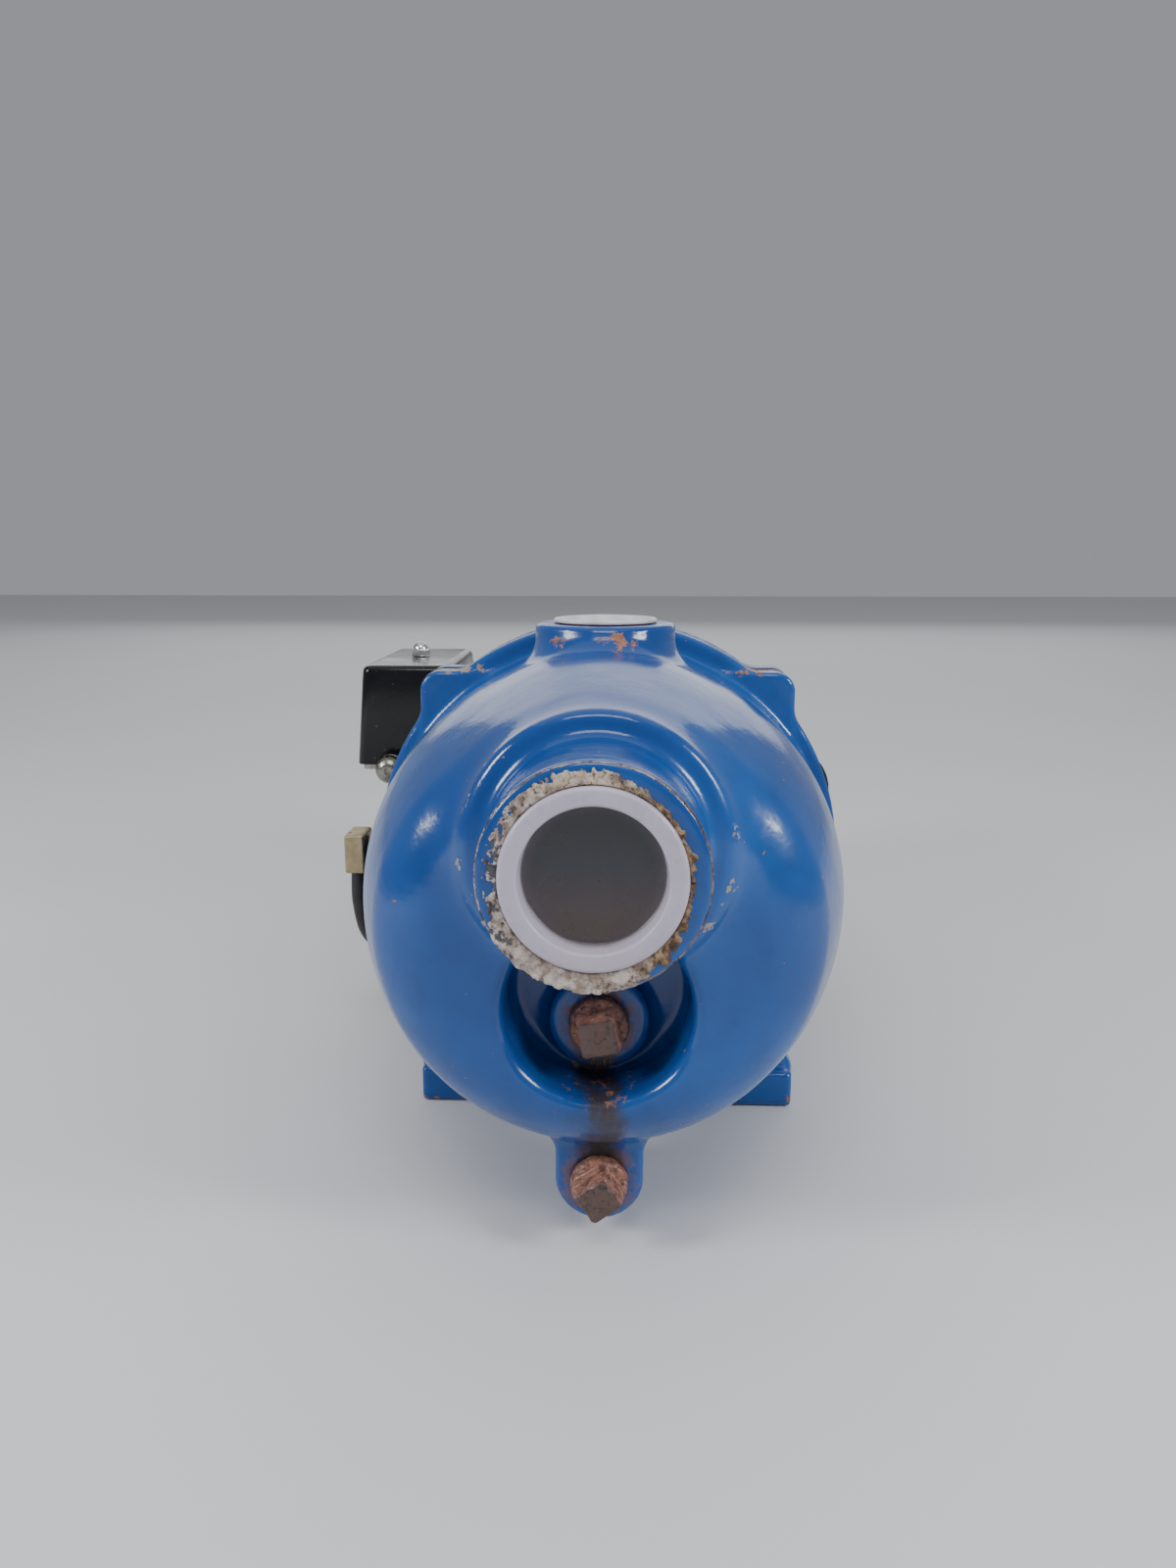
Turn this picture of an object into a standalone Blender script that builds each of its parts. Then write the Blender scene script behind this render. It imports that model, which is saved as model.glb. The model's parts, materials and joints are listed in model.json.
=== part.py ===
"""Shallow-well jet pump with its motor and pressure switch, one object for each piece.

Run with: blender --background --python part.py

The frame has +Z up and its origin at the centre of the foot's underside. The shaft lies along Y and
the suction port faces -Y. Dimensions here are millimetres, and solid() turns them into metres. Inside
the functions y is measured from the joint plane between casing and adapter, negative towards the port.
"""

import math

import bmesh
import bpy
from mathutils import Matrix, Vector

# Frame
TO_METRES = 0.001
JOINT_Y = -42.0  # the joint plane, from the foot's centre
SHAFT_Z = 105.0
FIT = 0.3  # gap between pieces that touch

# Sides of a full circle, by the size of what is round
LARGE = 36
BROAD = 28
MEDIUM = 18
SMALL = 12
TINY = 8

# Casing
DOME_RADIUS = 80.0
DOME_STRAIGHT = 45.0  # cylindrical length in front of the joint plane
DOME_SWEEP_RADIUS = 150.0
DOME_SWEEP_ANGLE = math.radians(25.4)
DOME_CORNER = 13.0
CROWN = 0.955  # the upper half of the dome is a little flattened
CASING_WALL = 6.5
FLANGE_RADIUS = 85.0
FLANGE_THICKNESS = 12.0
EAR_HALF = 68.0
EAR_BOLT = 57.0  # bolt centres, across and up from the shaft
BOLT_RADIUS = 4.6

# Ports and plugs
PORT_Z = 136.7
PORT_FACE = -156.0
PORT_BOSS_RADIUS = 30.0
PORT_BORE = 20.5
PORT_SEAT = 24.9  # a shallow step round the bore, where the cap's flange sits
COLLAR_RADIUS = 37.6
COLLAR_FACE = -123.0
DISCHARGE_Y = -34.0
DISCHARGE_TOP = 191.4
DISCHARGE_BOSS_RADIUS = 23.7
DISCHARGE_BORE = 15.0
POCKET_Z = 84.0
POCKET_RADIUS = 28.0
POCKET_FLOOR = -92.0
PLUG_Z = 74.7
PLUG_FACE = -100.0
PLUG_BORE = 7.5
PLUG_COLLAR = 9.2
PLUG_BOSS_RADIUS = 15.5
DRAIN_Z = 19.5
DRAIN_FACE = -96.0
DRAIN_BOSS_RADIUS = 14.0

# Adapter and foot
GASKET = 1.5
ADAPTER_FACE = GASKET + 2 * FIT
ADAPTER_FLANGE = 10.0
DRUM_RADIUS = 69.0
DRUM_BACK = 54.0
FOOT_HALF = 73.0
FOOT_FRONT = -6.0
FOOT_BACK = 90.0
FOOT_THICKNESS = 14.0
FOOT_HOLE = 5.5
FOOT_HOLE_X = 61.0
FOOT_HOLE_INSET = 16.0
FOOT_HOLE_SPACING = 38.4

# Hydraulic parts inside the casing
CHAMBER_FRONT = -79.7
CHAMBER_BACK = -60.0
BOWL_FRONT = -44.0

# Motor
MOTOR_RADIUS = 66.0
SHELL_WALL = 2.5
BELL_FRONT = DRUM_BACK + FIT
SHELL_FRONT = 82.3
SHELL_BACK = 200.0
REAR_BELL_BACK = 224.0
STACK_FRONT = 98.0
STACK_BACK = 178.0
SHAFT_RADIUS = 8.0
BEARING_OUTER = 23.5
BEARING_INNER = 10.3
TIE_RADIUS = 60.5
COWL_BACK = 252.0
SCREW_ANGLES = (20, 160, 270)
SCREW_Y = 213.0

# Pressure switch
SWITCH_X = -98.5
SWITCH_Y = 160.5
SWITCH_HALF_LENGTH = 46.5
SWITCH_FLOOR = 112.7
SWITCH_TOP = 160.0
ELBOW_X = -105.3
ELBOW_Y = 38.5
ELBOW_Z = 90.9
LEVER_Y = -35.5  # the lever's hinge, from the middle of the switch
LEVER_Z = 7.7  # and above its floor
TUBE_RADIUS = 3.4
TUBE_SPACING = 8.0

MATERIALS = {
    # name: (colour, metallic, roughness)
    "blue_paint": ((0.012, 0.105, 0.36, 1), 0.0, 0.22),
    "black_paint": ((0.006, 0.007, 0.008, 1), 0.0, 0.3),
    "cap_plastic": ((0.42, 0.39, 0.47, 1), 0.0, 0.35),
    "white_plastic": ((0.6, 0.6, 0.61, 1), 0.0, 0.4),
    "rusty_iron": ((0.22, 0.085, 0.045, 1), 0.3, 0.8),
    "gasket_fibre": ((0.05, 0.05, 0.05, 1), 0.0, 0.8),
    "zinc_steel": ((0.5, 0.5, 0.48, 1), 1.0, 0.35),
    "shaft_steel": ((0.6, 0.6, 0.6, 1), 1.0, 0.25),
    "lamination": ((0.2, 0.2, 0.21, 1), 1.0, 0.5),
    "copper": ((0.5, 0.17, 0.06, 1), 0.6, 0.4),
    "brass": ((0.4, 0.3, 0.16, 1), 0.9, 0.45),
    "nickel": ((0.62, 0.64, 0.62, 1), 1.0, 0.25),
    "moulded_black": ((0.012, 0.012, 0.013, 1), 0.0, 0.45),
    "moulded_tan": ((0.45, 0.36, 0.22, 1), 0.0, 0.5),
    "rubber": ((0.015, 0.015, 0.015, 1), 0.0, 0.7),
    "ceramic": ((0.75, 0.74, 0.7, 1), 0.0, 0.2),
    "bell_aluminium": ((0.4, 0.41, 0.42, 1), 1.0, 0.5),
    "phenolic": ((0.08, 0.03, 0.015, 1), 0.0, 0.4),
}


def clear_scene():
    for obj in list(bpy.data.objects):
        bpy.data.objects.remove(obj, do_unlink=True)


def make_materials():
    for name, (colour, metallic, roughness) in MATERIALS.items():
        material = bpy.data.materials.new(name)
        material.use_nodes = True
        shader = material.node_tree.nodes["Principled BSDF"]
        shader.inputs["Base Color"].default_value = colour
        shader.inputs["Metallic"].default_value = metallic
        shader.inputs["Roughness"].default_value = roughness
        material.diffuse_color = colour


# Shapes: each returns a closed bmesh in millimetres.


def arc(centre, radius, start, end, steps):
    """Points of an arc in a plane, angles in degrees, both ends included."""
    points = []
    for i in range(steps + 1):
        angle = math.radians(start + (end - start) * i / steps)
        points.append((centre[0] + radius * math.cos(angle), centre[1] + radius * math.sin(angle)))
    return points


def circle(radius, steps, centre=(0.0, 0.0)):
    return arc(centre, radius, 0.0, 360.0, steps)[:-1]


def rounded_rectangle(low, high, radius, steps=4):
    corners = [
        ((high[0] - radius, low[1] + radius), -90),
        ((high[0] - radius, high[1] - radius), 0),
        ((low[0] + radius, high[1] - radius), 90),
        ((low[0] + radius, low[1] + radius), 180),
    ]
    points = []
    for centre, start in corners:
        points += arc(centre, radius, start, start + 90, steps)
    return points


def closed(bm):
    bmesh.ops.recalc_face_normals(bm, faces=bm.faces)
    return bm


def skinned(rings, cyclic=False):
    """A solid through rings of equally many points; cyclic joins the last ring to the first."""
    bm = bmesh.new()
    loops = [[bm.verts.new(point) for point in ring] for ring in rings]
    pairs = list(zip(loops, loops[1:]))
    if cyclic:
        pairs.append((loops[-1], loops[0]))
    for first, second in pairs:
        for i in range(len(first)):
            j = (i + 1) % len(first)
            bm.faces.new((first[i], first[j], second[j], second[i]))
    if not cyclic:
        bm.faces.new(loops[0])
        bm.faces.new(loops[-1])
    return closed(bm)


def turned(profile, steps=MEDIUM, axis="Y", at=(0.0, 0.0, SHAFT_Z)):
    """A turned solid from (radius, distance along the axis) points.

    A profile that starts and ends on the axis is solid; any other is closed end to end.
    """
    bm = bmesh.new()
    loops = []
    for radius, along in profile:
        if radius == 0:
            loops.append([bm.verts.new((0, 0, along))])
        else:
            loops.append([bm.verts.new((x, y, along)) for x, y in circle(radius, steps)])
    pairs = list(zip(loops, loops[1:]))
    if profile[0][0] > 0 or profile[-1][0] > 0:
        pairs.append((loops[-1], loops[0]))
    for first, second in pairs:
        if len(first) == len(second) == 1:
            continue
        for i in range(steps):
            j = (i + 1) % steps
            if len(first) == 1:
                bm.faces.new((first[0], second[j], second[i]))
            elif len(second) == 1:
                bm.faces.new((first[i], first[j], second[0]))
            else:
                bm.faces.new((first[i], first[j], second[j], second[i]))
    turn(bm, axis)
    bmesh.ops.translate(bm, verts=bm.verts, vec=Vector(at))
    return closed(bm)


def turn(bm, axis):
    """Turns a shape made along +Z so that it lies along the named axis."""
    if axis == "Y":
        matrix = Matrix.Rotation(math.radians(-90), 3, "X")
    elif axis == "X":
        matrix = Matrix.Rotation(math.radians(90), 3, "Y")
    else:
        return
    bmesh.ops.rotate(bm, cent=(0, 0, 0), matrix=matrix, verts=bm.verts)


def rod(radius, start, end, axis="Y", at=(0.0, 0.0, SHAFT_Z), steps=MEDIUM, chamfer=0.0):
    """A cylinder from start to end along the axis; start is the lower end."""
    if chamfer:
        profile = [(0, start), (radius - chamfer, start), (radius, start + chamfer)]
        profile += [(radius, end - chamfer), (radius - chamfer, end), (0, end)]
    else:
        profile = [(0, start), (radius, start), (radius, end), (0, end)]
    return turned(profile, steps, axis, at)


def washer(inner, outer, start, end, axis="Y", at=(0.0, 0.0, SHAFT_Z), steps=MEDIUM):
    return turned([(inner, start), (outer, start), (outer, end), (inner, end)], steps, axis, at)


def prism(outline, start, end, axis="Y"):
    """An outline in the plane across the axis (XZ for Y, YZ for X, XY for Z) extruded along it."""
    places = {
        "Y": lambda a, b, along: (a, along, b),
        "X": lambda a, b, along: (along, a, b),
        "Z": lambda a, b, along: (a, b, along),
    }
    place = places[axis]
    return skinned([[place(a, b, start) for a, b in outline], [place(a, b, end) for a, b in outline]])


def block(low, high):
    outline = [(low[0], low[2]), (high[0], low[2]), (high[0], high[2]), (low[0], high[2])]
    return prism(outline, low[1], high[1])


def hexagon(across_flats, start, end, axis="Y", at=(0.0, 0.0)):
    radius = across_flats / math.sqrt(3)
    return prism(circle(radius, 6, at), start, end, axis)


def coil(radius, wire, start, end, turns, axis, at, around=12, sides=5):
    """A helical spring along the axis, with plain ends."""
    rings = []
    steps = int(turns * around)
    for i in range(steps + 1):
        angle = 2 * math.pi * i / around
        along = start + wire + (end - start - 2 * wire) * i / steps
        outward = Vector((math.cos(angle), math.sin(angle), 0))
        ring = []
        for a, b in circle(wire, sides):
            ring.append(outward * (radius + a) + Vector((0, 0, along + b)))
        rings.append(ring)
    bm = skinned(rings)
    turn(bm, axis)
    bmesh.ops.translate(bm, verts=bm.verts, vec=Vector(at))
    return closed(bm)


# Objects


def solid(name, bm, material, pivot=(0.0, 0.0, 0.0), parent=None):
    """The object of a bmesh; pivot is its origin, in the same measure as the shape."""
    shift = Vector((0, JOINT_Y, 0))
    origin = (Vector(pivot) + shift) * TO_METRES
    for vertex in bm.verts:
        vertex.co = (vertex.co + shift) * TO_METRES - origin
    mesh = bpy.data.meshes.new(name)
    bm.to_mesh(mesh)
    bm.free()
    mesh.shade_smooth()
    mesh.set_sharp_from_angle(angle=math.radians(35))
    obj = bpy.data.objects.new(name, mesh)
    bpy.context.scene.collection.objects.link(obj)
    obj.location = origin
    if material:
        mesh.materials.append(bpy.data.materials[material])
    if parent:
        obj.parent = parent
        obj.location = origin - parent.location
    return obj


def helper(name, bm):
    """A cutter or a piece to be joined: it's no part of the scene's render."""
    obj = solid(name, bm, None)
    obj.hide_render = True
    obj.display_type = "WIRE"
    return obj


def boolean(obj, operation, *shapes):
    """Joins shapes to an object or cuts them from it. A shape is a bmesh or a helper object."""
    for shape in shapes:
        count = len(obj.modifiers)
        if isinstance(shape, bmesh.types.BMesh):
            shape = helper(f"helper_{obj.name}_{count}", shape)
        modifier = obj.modifiers.new(f"{operation.lower()}_{count}", "BOOLEAN")
        modifier.operation = operation
        modifier.solver = "MANIFOLD"  # many circles here share planes, where EXACT leaves open edges
        modifier.object = shape
    return obj


def join(obj, *shapes):
    return boolean(obj, "UNION", *shapes)


def cut(obj, *shapes):
    return boolean(obj, "DIFFERENCE", *shapes)


def pivot_empty(name, pivot):
    """The empty of a moving body, on its joint's axis."""
    empty = bpy.data.objects.new(name, None)
    bpy.context.scene.collection.objects.link(empty)
    empty.location = (Vector(pivot) + Vector((0, JOINT_Y, 0))) * TO_METRES
    return empty


# Casing


def dome_profile(inset):
    """The dome's outline from the joint plane to its front, moved in by inset."""
    centre = DOME_RADIUS - DOME_SWEEP_RADIUS
    sweep = DOME_SWEEP_RADIUS - inset
    corner_centre = DOME_SWEEP_RADIUS - DOME_CORNER
    corner_r = centre + corner_centre * math.cos(DOME_SWEEP_ANGLE)
    corner_y = -DOME_STRAIGHT - corner_centre * math.sin(DOME_SWEEP_ANGLE)
    angle = math.degrees(DOME_SWEEP_ANGLE)
    points = arc((centre, -DOME_STRAIGHT), sweep, 0, -angle, 4)
    points += arc((corner_r, corner_y), DOME_CORNER - inset, -angle, -90, 4)[1:]
    return points


def dome(inset, back, steps):
    profile = dome_profile(inset)
    front = profile[-1][1]
    bm = turned([(0, back), (DOME_RADIUS - inset, back)] + profile + [(0, front)], steps)
    for vertex in bm.verts:
        if vertex.co.z > SHAFT_Z:
            vertex.co.z = SHAFT_Z + (vertex.co.z - SHAFT_Z) * CROWN
    return bm


def bolt_places():
    return [(x, SHAFT_Z + z) for z in (EAR_BOLT, -EAR_BOLT) for x in (-EAR_BOLT, EAR_BOLT)]


def ears(start, end):
    low = (-EAR_HALF, SHAFT_Z - EAR_HALF + 1)
    high = (EAR_HALF, SHAFT_Z + EAR_HALF - 1)
    return prism(rounded_rectangle(low, high, 7.0), start, end)


def ridge():
    """The hump from the discharge boss to the round collar of the suction port."""
    stations = [
        # y, radius, height of the centre
        (-24.0, 27.0, 153.5),
        (-58.0, 31.5, 149.8),
        (COLLAR_FACE + 2.5, COLLAR_RADIUS, PORT_Z),
        (COLLAR_FACE, COLLAR_RADIUS - 2.0, PORT_Z),
    ]
    rings = []
    for y, radius, z in stations:
        rings.append([(a, y, b) for a, b in circle(radius, BROAD, (0, z))])
    return skinned(rings)


def make_casing():
    port = (0, 0, PORT_Z)
    discharge = (0, DISCHARGE_Y, 0)
    casing = solid("pump_casing", dome(0.0, -2.0, LARGE), "blue_paint")
    edge = 1.5
    flange = [(0, -FLANGE_THICKNESS), (FLANGE_RADIUS - edge, -FLANGE_THICKNESS)]
    flange += [(FLANGE_RADIUS, edge - FLANGE_THICKNESS), (FLANGE_RADIUS, 0), (0, 0)]
    drain_at = (0, 0, DRAIN_Z)
    drain_web = block((-DRAIN_BOSS_RADIUS, DRAIN_FACE + 2, DRAIN_Z), (DRAIN_BOSS_RADIUS, -52, 44))
    join(
        casing,
        ridge(),
        turned(flange, LARGE),
        ears(-FLANGE_THICKNESS - 0.8, -0.8),
        rod(DISCHARGE_BOSS_RADIUS, 148, DISCHARGE_TOP, "Z", discharge, BROAD, 1.5),
        rod(DRAIN_BOSS_RADIUS, DRAIN_FACE, -50, "Y", drain_at, MEDIUM, 1.5),
        drain_web,
    )
    pocket_at = (0, 0, POCKET_Z)
    cut(casing, rod(POCKET_RADIUS, -140, POCKET_FLOOR, "Y", pocket_at, BROAD, 2.0))
    join(
        casing,
        rod(PORT_BOSS_RADIUS, PORT_FACE, -108, "Y", port, BROAD, 1.5),
        rod(PLUG_BOSS_RADIUS, PLUG_FACE, POCKET_FLOOR + 3, "Y", (0, 0, PLUG_Z), MEDIUM, 1.5),
    )
    cavity = helper("helper_cavity", dome(CASING_WALL, 1.0, BROAD))
    pocket_wall = CASING_WALL - 1
    pocket_back = POCKET_FLOOR + CASING_WALL
    cut(cavity, rod(POCKET_RADIUS + pocket_wall, -130, pocket_back, "Y", pocket_at, BROAD))
    register = rod(DOME_RADIUS - CASING_WALL, -7, 3, steps=LARGE)
    cut(casing, cavity, register)
    join(casing, washer(PORT_BORE - 1.5, PORT_BORE + 5, -113, -80, "Y", port, BROAD))
    cut(
        casing,
        rod(PORT_BORE, -160, -78, "Y", port, BROAD),
        rod(PORT_SEAT, PORT_FACE - 3, PORT_FACE + 0.4, "Y", port, BROAD),
        rod(DISCHARGE_BORE, 168, 195, "Z", discharge, MEDIUM),
        rod(PLUG_BORE, -104, -80, "Y", (0, 0, PLUG_Z), SMALL),
        rod(PLUG_BORE, -100, -70, "Y", drain_at, SMALL),
        rod(4.5, DRAIN_Z + 1, 42, "Z", (0, -76, 0), TINY),
    )
    for x, z in bolt_places():
        cut(casing, rod(BOLT_RADIUS + 0.5, -10, 3, "Y", (x, 0, z), TINY))


def make_suction_cap(body):
    """A moulded thread protector: a flange, a shank and a floor set a little below the face."""
    y = PORT_FACE
    shank = PORT_BORE - 0.5
    profile = [
        (0, y + 5.2),
        (17.9, y + 5.2),
        (18.7, y - 2.2),
        (23.3, y - 2.2),
        (24.0, y - 1.5),
        (24.0, y - FIT),
        (shank, y - FIT),
        (shank - 0.5, y + 14),
        (shank - 2.2, y + 14),
        (shank - 2.2, y + 7.0),
        (0, y + 7.0),
    ]
    solid("suction_cap", turned(profile, BROAD, "Y", (0, 0, PORT_Z)), "cap_plastic", (0, y, PORT_Z), body)


def make_discharge_cap(body):
    z = DISCHARGE_TOP
    shank = DISCHARGE_BORE - 0.4
    profile = [
        (0, z - 0.2),
        (15.6, z - 0.2),
        (16.2, z + 1.5),
        (17.2, z + 1.5),
        (17.5, z + 1.1),
        (17.5, z + FIT),
        (shank, z + FIT),
        (shank - 0.4, z - 11),
        (shank - 2.0, z - 11),
        (shank - 2.0, z - 1.8),
        (0, z - 1.8),
    ]
    at = (0, DISCHARGE_Y, 0)
    solid("discharge_cap", turned(profile, MEDIUM, "Z", at), "white_plastic", (0, DISCHARGE_Y, z), body)


def make_plug(name, face, z, reach, body):
    """A square-headed pipe plug with a round collar; reach is its shank's length."""
    shank = PLUG_BORE - 0.4
    collar_front = face - 4.5
    profile = [(0, collar_front), (PLUG_COLLAR - 1, collar_front), (PLUG_COLLAR, collar_front + 1)]
    profile.append((PLUG_COLLAR, face - FIT))
    profile += [(shank, face - FIT), (shank - 0.6, face + reach), (0, face + reach)]
    plug = solid(name, turned(profile, SMALL, "Y", (0, 0, z)), "rusty_iron", (0, face, z), body)
    half = 6.4
    corner = 1.7
    flat = half - corner
    outline = [(half, -flat), (half, flat), (flat, half), (-flat, half)]
    outline += [(-half, flat), (-half, -flat), (-flat, -half), (flat, -half)]
    rings = []
    for y, scale in ((collar_front - 9, 0.8), (collar_front - 7.6, 0.97), (collar_front + 2, 1.0)):
        rings.append([(a * scale, y, z + b * scale) for a, b in outline])
    join(plug, skinned(rings))


def make_gasket():
    """Flat fibre gasket, cut to the flange's outline with a hole for each bolt."""
    disc = rod(FLANGE_RADIUS - 0.8, FIT, FIT + GASKET, steps=LARGE)
    gasket = solid("casing_gasket", disc, "gasket_fibre")
    join(gasket, ears(FIT, FIT + GASKET))
    cut(gasket, rod(DOME_RADIUS - CASING_WALL + 0.5, -3, 5, steps=LARGE))
    for x, z in bolt_places():
        cut(gasket, rod(BOLT_RADIUS + 0.6, -3, 5, "Y", (x, 0, z), TINY))


# Adapter


def make_adapter():
    front = ADAPTER_FACE
    back = front + ADAPTER_FLANGE
    spigot = DOME_RADIUS - CASING_WALL - 0.7
    outer = [(0, -4), (spigot, -4), (spigot, front), (FLANGE_RADIUS, front), (FLANGE_RADIUS, back - 1.5)]
    outer += [(FLANGE_RADIUS - 1.5, back), (DRUM_RADIUS + 1, back), (DRUM_RADIUS, back + 2)]
    outer += [(DRUM_RADIUS, DRUM_BACK), (0, DRUM_BACK)]
    adapter = solid("motor_adapter", turned(outer, LARGE), "blue_paint")
    foot_outline = rounded_rectangle((-FOOT_HALF, FOOT_FRONT), (FOOT_HALF, FOOT_BACK), 3.0, 2)
    foot = prism(foot_outline, 0, FOOT_THICKNESS, "Z")
    low = SHAFT_Z - EAR_HALF
    apron = [(-FOOT_HALF + 1, 4), (FOOT_HALF - 1, 4), (FOOT_HALF - 1, FOOT_THICKNESS + 4)]
    apron += [(EAR_HALF - 6, low + 12), (6 - EAR_HALF, low + 12), (1 - FOOT_HALF, FOOT_THICKNESS + 4)]
    join(
        adapter,
        ears(front + 0.8, back + 0.8),
        prism(apron, front + 0.6, back - 0.6),
        foot,
        block((-26, back - 3, 6), (26, DRUM_BACK - 4, 50)),
        block((-45, back - 3, 6), (-37, FOOT_BACK - 8, 30)),
        block((37, back - 3, 6), (45, FOOT_BACK - 8, 30)),
        rod(9.5, -76, -55, "X", (0, ELBOW_Y, ELBOW_Z), MEDIUM),
    )
    lantern = 55.0
    hollow = [(0, 16), (lantern - 8, 16), (lantern, 24), (lantern, DRUM_BACK + 2), (0, DRUM_BACK + 2)]
    cut(
        adapter,
        turned(hollow, BROAD),
        rod(16.8, -6, 8),
        rod(SHAFT_RADIUS + 1.4, 6, 20),
        block((30, 24, 88), (90, 46, 124)),
        block((-20, 24, 140), (20, 46, 190)),
        rod(5.5, -80, -62, "X", (0, ELBOW_Y, ELBOW_Z), SMALL),
    )
    for x, z in bolt_places():
        cut(adapter, rod(BOLT_RADIUS + 0.6, -2, back + 6, "Y", (x, 0, z), TINY))
    for x, z in tie_places():
        cut(adapter, rod(2.9, DRUM_BACK - 14, DRUM_BACK + 3, "Y", (x, 0, z), TINY))
    for x in (-FOOT_HOLE_X, FOOT_HOLE_X):
        for y in (FOOT_BACK - FOOT_HOLE_INSET, FOOT_BACK - FOOT_HOLE_INSET - FOOT_HOLE_SPACING):
            cut(adapter, rod(FOOT_HOLE, -3, FOOT_THICKNESS + 3, "Z", (x, y, 0), SMALL))


def make_flange_bolts():
    back = ADAPTER_FACE + ADAPTER_FLANGE + 0.8
    for number, (x, z) in enumerate(bolt_places(), 1):
        shank = rod(BOLT_RADIUS, -9, back + 2, "Y", (x, 0, z), TINY)
        bolt = solid(f"flange_bolt_{number}", shank, "zinc_steel", (x, 0, z))
        join(
            bolt,
            hexagon(15.0, back + FIT + 1.5, back + 8, at=(x, z)),
            rod(8.0, back + FIT, back + FIT + 1.6, "Y", (x, 0, z), SMALL),
        )


# Hydraulic parts inside the casing


def stadium(upper_radius, lower_radius, steps=10):
    """An outline round the suction port's axis and the shaft's."""
    points = arc((0, PORT_Z), upper_radius, 0, 180, steps)
    return points + arc((0, SHAFT_Z), lower_radius, 180, 360, steps)


def make_ejector():
    """The chamber that takes water from the port, and the venturi that leads it to the impeller."""
    shell = prism(stadium(26.0, 19.0), CHAMBER_FRONT, CHAMBER_BACK)
    ejector = solid("ejector_body", shell, "moulded_black")
    venturi = [(0, CHAMBER_BACK - 2), (12, CHAMBER_BACK - 2), (12, -54)]
    venturi += [(16.5, BOWL_FRONT - 1), (0, BOWL_FRONT - 1)]
    join(ejector, turned(venturi))
    throat = [(0, CHAMBER_BACK - 6), (9, CHAMBER_BACK - 6), (7, -57), (7, -53), (14, BOWL_FRONT + 2)]
    throat += [(0, BOWL_FRONT + 2)]
    cut(
        ejector,
        prism(stadium(22.5, 15.5), CHAMBER_FRONT + 3.5, CHAMBER_BACK - 3.5),
        rod(PORT_BORE, CHAMBER_FRONT - 3, CHAMBER_FRONT + 6, "Y", (0, 0, PORT_Z), MEDIUM),
        rod(9.0, CHAMBER_FRONT - 3, CHAMBER_FRONT + 6),
        turned(throat),
    )
    nozzle = [(3.4, CHAMBER_FRONT), (8.6, CHAMBER_FRONT), (8.6, CHAMBER_FRONT + 5)]
    nozzle += [(4.6, CHAMBER_BACK - 5), (2.6, CHAMBER_BACK - 5)]
    solid("jet_nozzle", turned(nozzle, SMALL), "brass")


def make_diffuser():
    """The bowl round the impeller, with slots in its rim for the water to leave."""
    wall = 3.0
    outer = 62.0
    eye = 18.9
    profile = [(eye, BOWL_FRONT), (24, BOWL_FRONT), (28, BOWL_FRONT + 8), (outer - 8, BOWL_FRONT + 12)]
    profile += [(outer, BOWL_FRONT + 20), (outer, -5), (outer - wall, -5)]
    profile += [(outer - wall, BOWL_FRONT + 21.5), (outer - 9, BOWL_FRONT + 15), (eye, BOWL_FRONT + 11)]
    diffuser = solid("diffuser", turned(profile, BROAD), "moulded_black")
    for i in range(8):
        slot = block((-5, -16, 50), (5, -9, 70))
        spin = Matrix.Rotation(math.pi * i / 4, 3, "Y")
        bmesh.ops.rotate(slot, cent=(0, 0, 0), matrix=spin, verts=slot.verts)
        bmesh.ops.translate(slot, verts=slot.verts, vec=(0, 0, SHAFT_Z))
        cut(diffuser, slot)


def curved_vane(inner, outer, sweep, thickness, steps=4):
    """The outline of a vane from the inner radius to the outer one, swept by an angle in degrees."""
    sides = [[], []]
    for i in range(steps + 1):
        share = i / steps
        radius = inner + (outer - inner) * share
        angle = math.radians(sweep * share)
        half = thickness / 2 / radius
        for side, turn_by in zip(sides, (-half, half)):
            side.append((radius * math.cos(angle + turn_by), radius * math.sin(angle + turn_by)))
    return sides[0] + sides[1][::-1]


def bladed(obj, count, inner, outer, sweep, thickness, start, end):
    """Joins evenly spaced vanes round the shaft to an object."""
    outline = curved_vane(inner, outer, sweep, thickness)
    for i in range(count):
        spin = 2 * math.pi * i / count
        cos, sin = math.cos(spin), math.sin(spin)
        spun = [(a * cos - b * sin, SHAFT_Z + a * sin + b * cos) for a, b in outline]
        join(obj, prism(spun, start, end))


def make_impeller(body):
    hub = [(SHAFT_RADIUS + FIT, -28), (12, -28), (15, -18.5), (50, -16), (50, -13.5), (14, -13.5)]
    hub += [(14, -11), (SHAFT_RADIUS + FIT, -11)]
    impeller = solid("impeller", turned(hub), "moulded_tan", (0, 0, SHAFT_Z), body)
    bladed(impeller, 6, 16.5, 49, -75, 2.2, -26.2, -15)
    shroud = [(16, -33.5), (18.4, -33.5), (18.4, -30), (22, -27.6)]
    shroud += [(50, -25.2), (50, -22.8), (22, -25.2), (16, -28)]
    join(impeller, turned(shroud))
    nut = rod(SHAFT_RADIUS - 0.6, -38, -36, steps=SMALL, chamfer=0.8)
    nut = solid("impeller_nut", nut, "brass", (0, 0, SHAFT_Z), body)
    join(nut, hexagon(14.5, -36.3, -28.3, at=(0, SHAFT_Z)))
    cut(nut, rod(5.6, -35, -26, steps=TINY))


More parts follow.
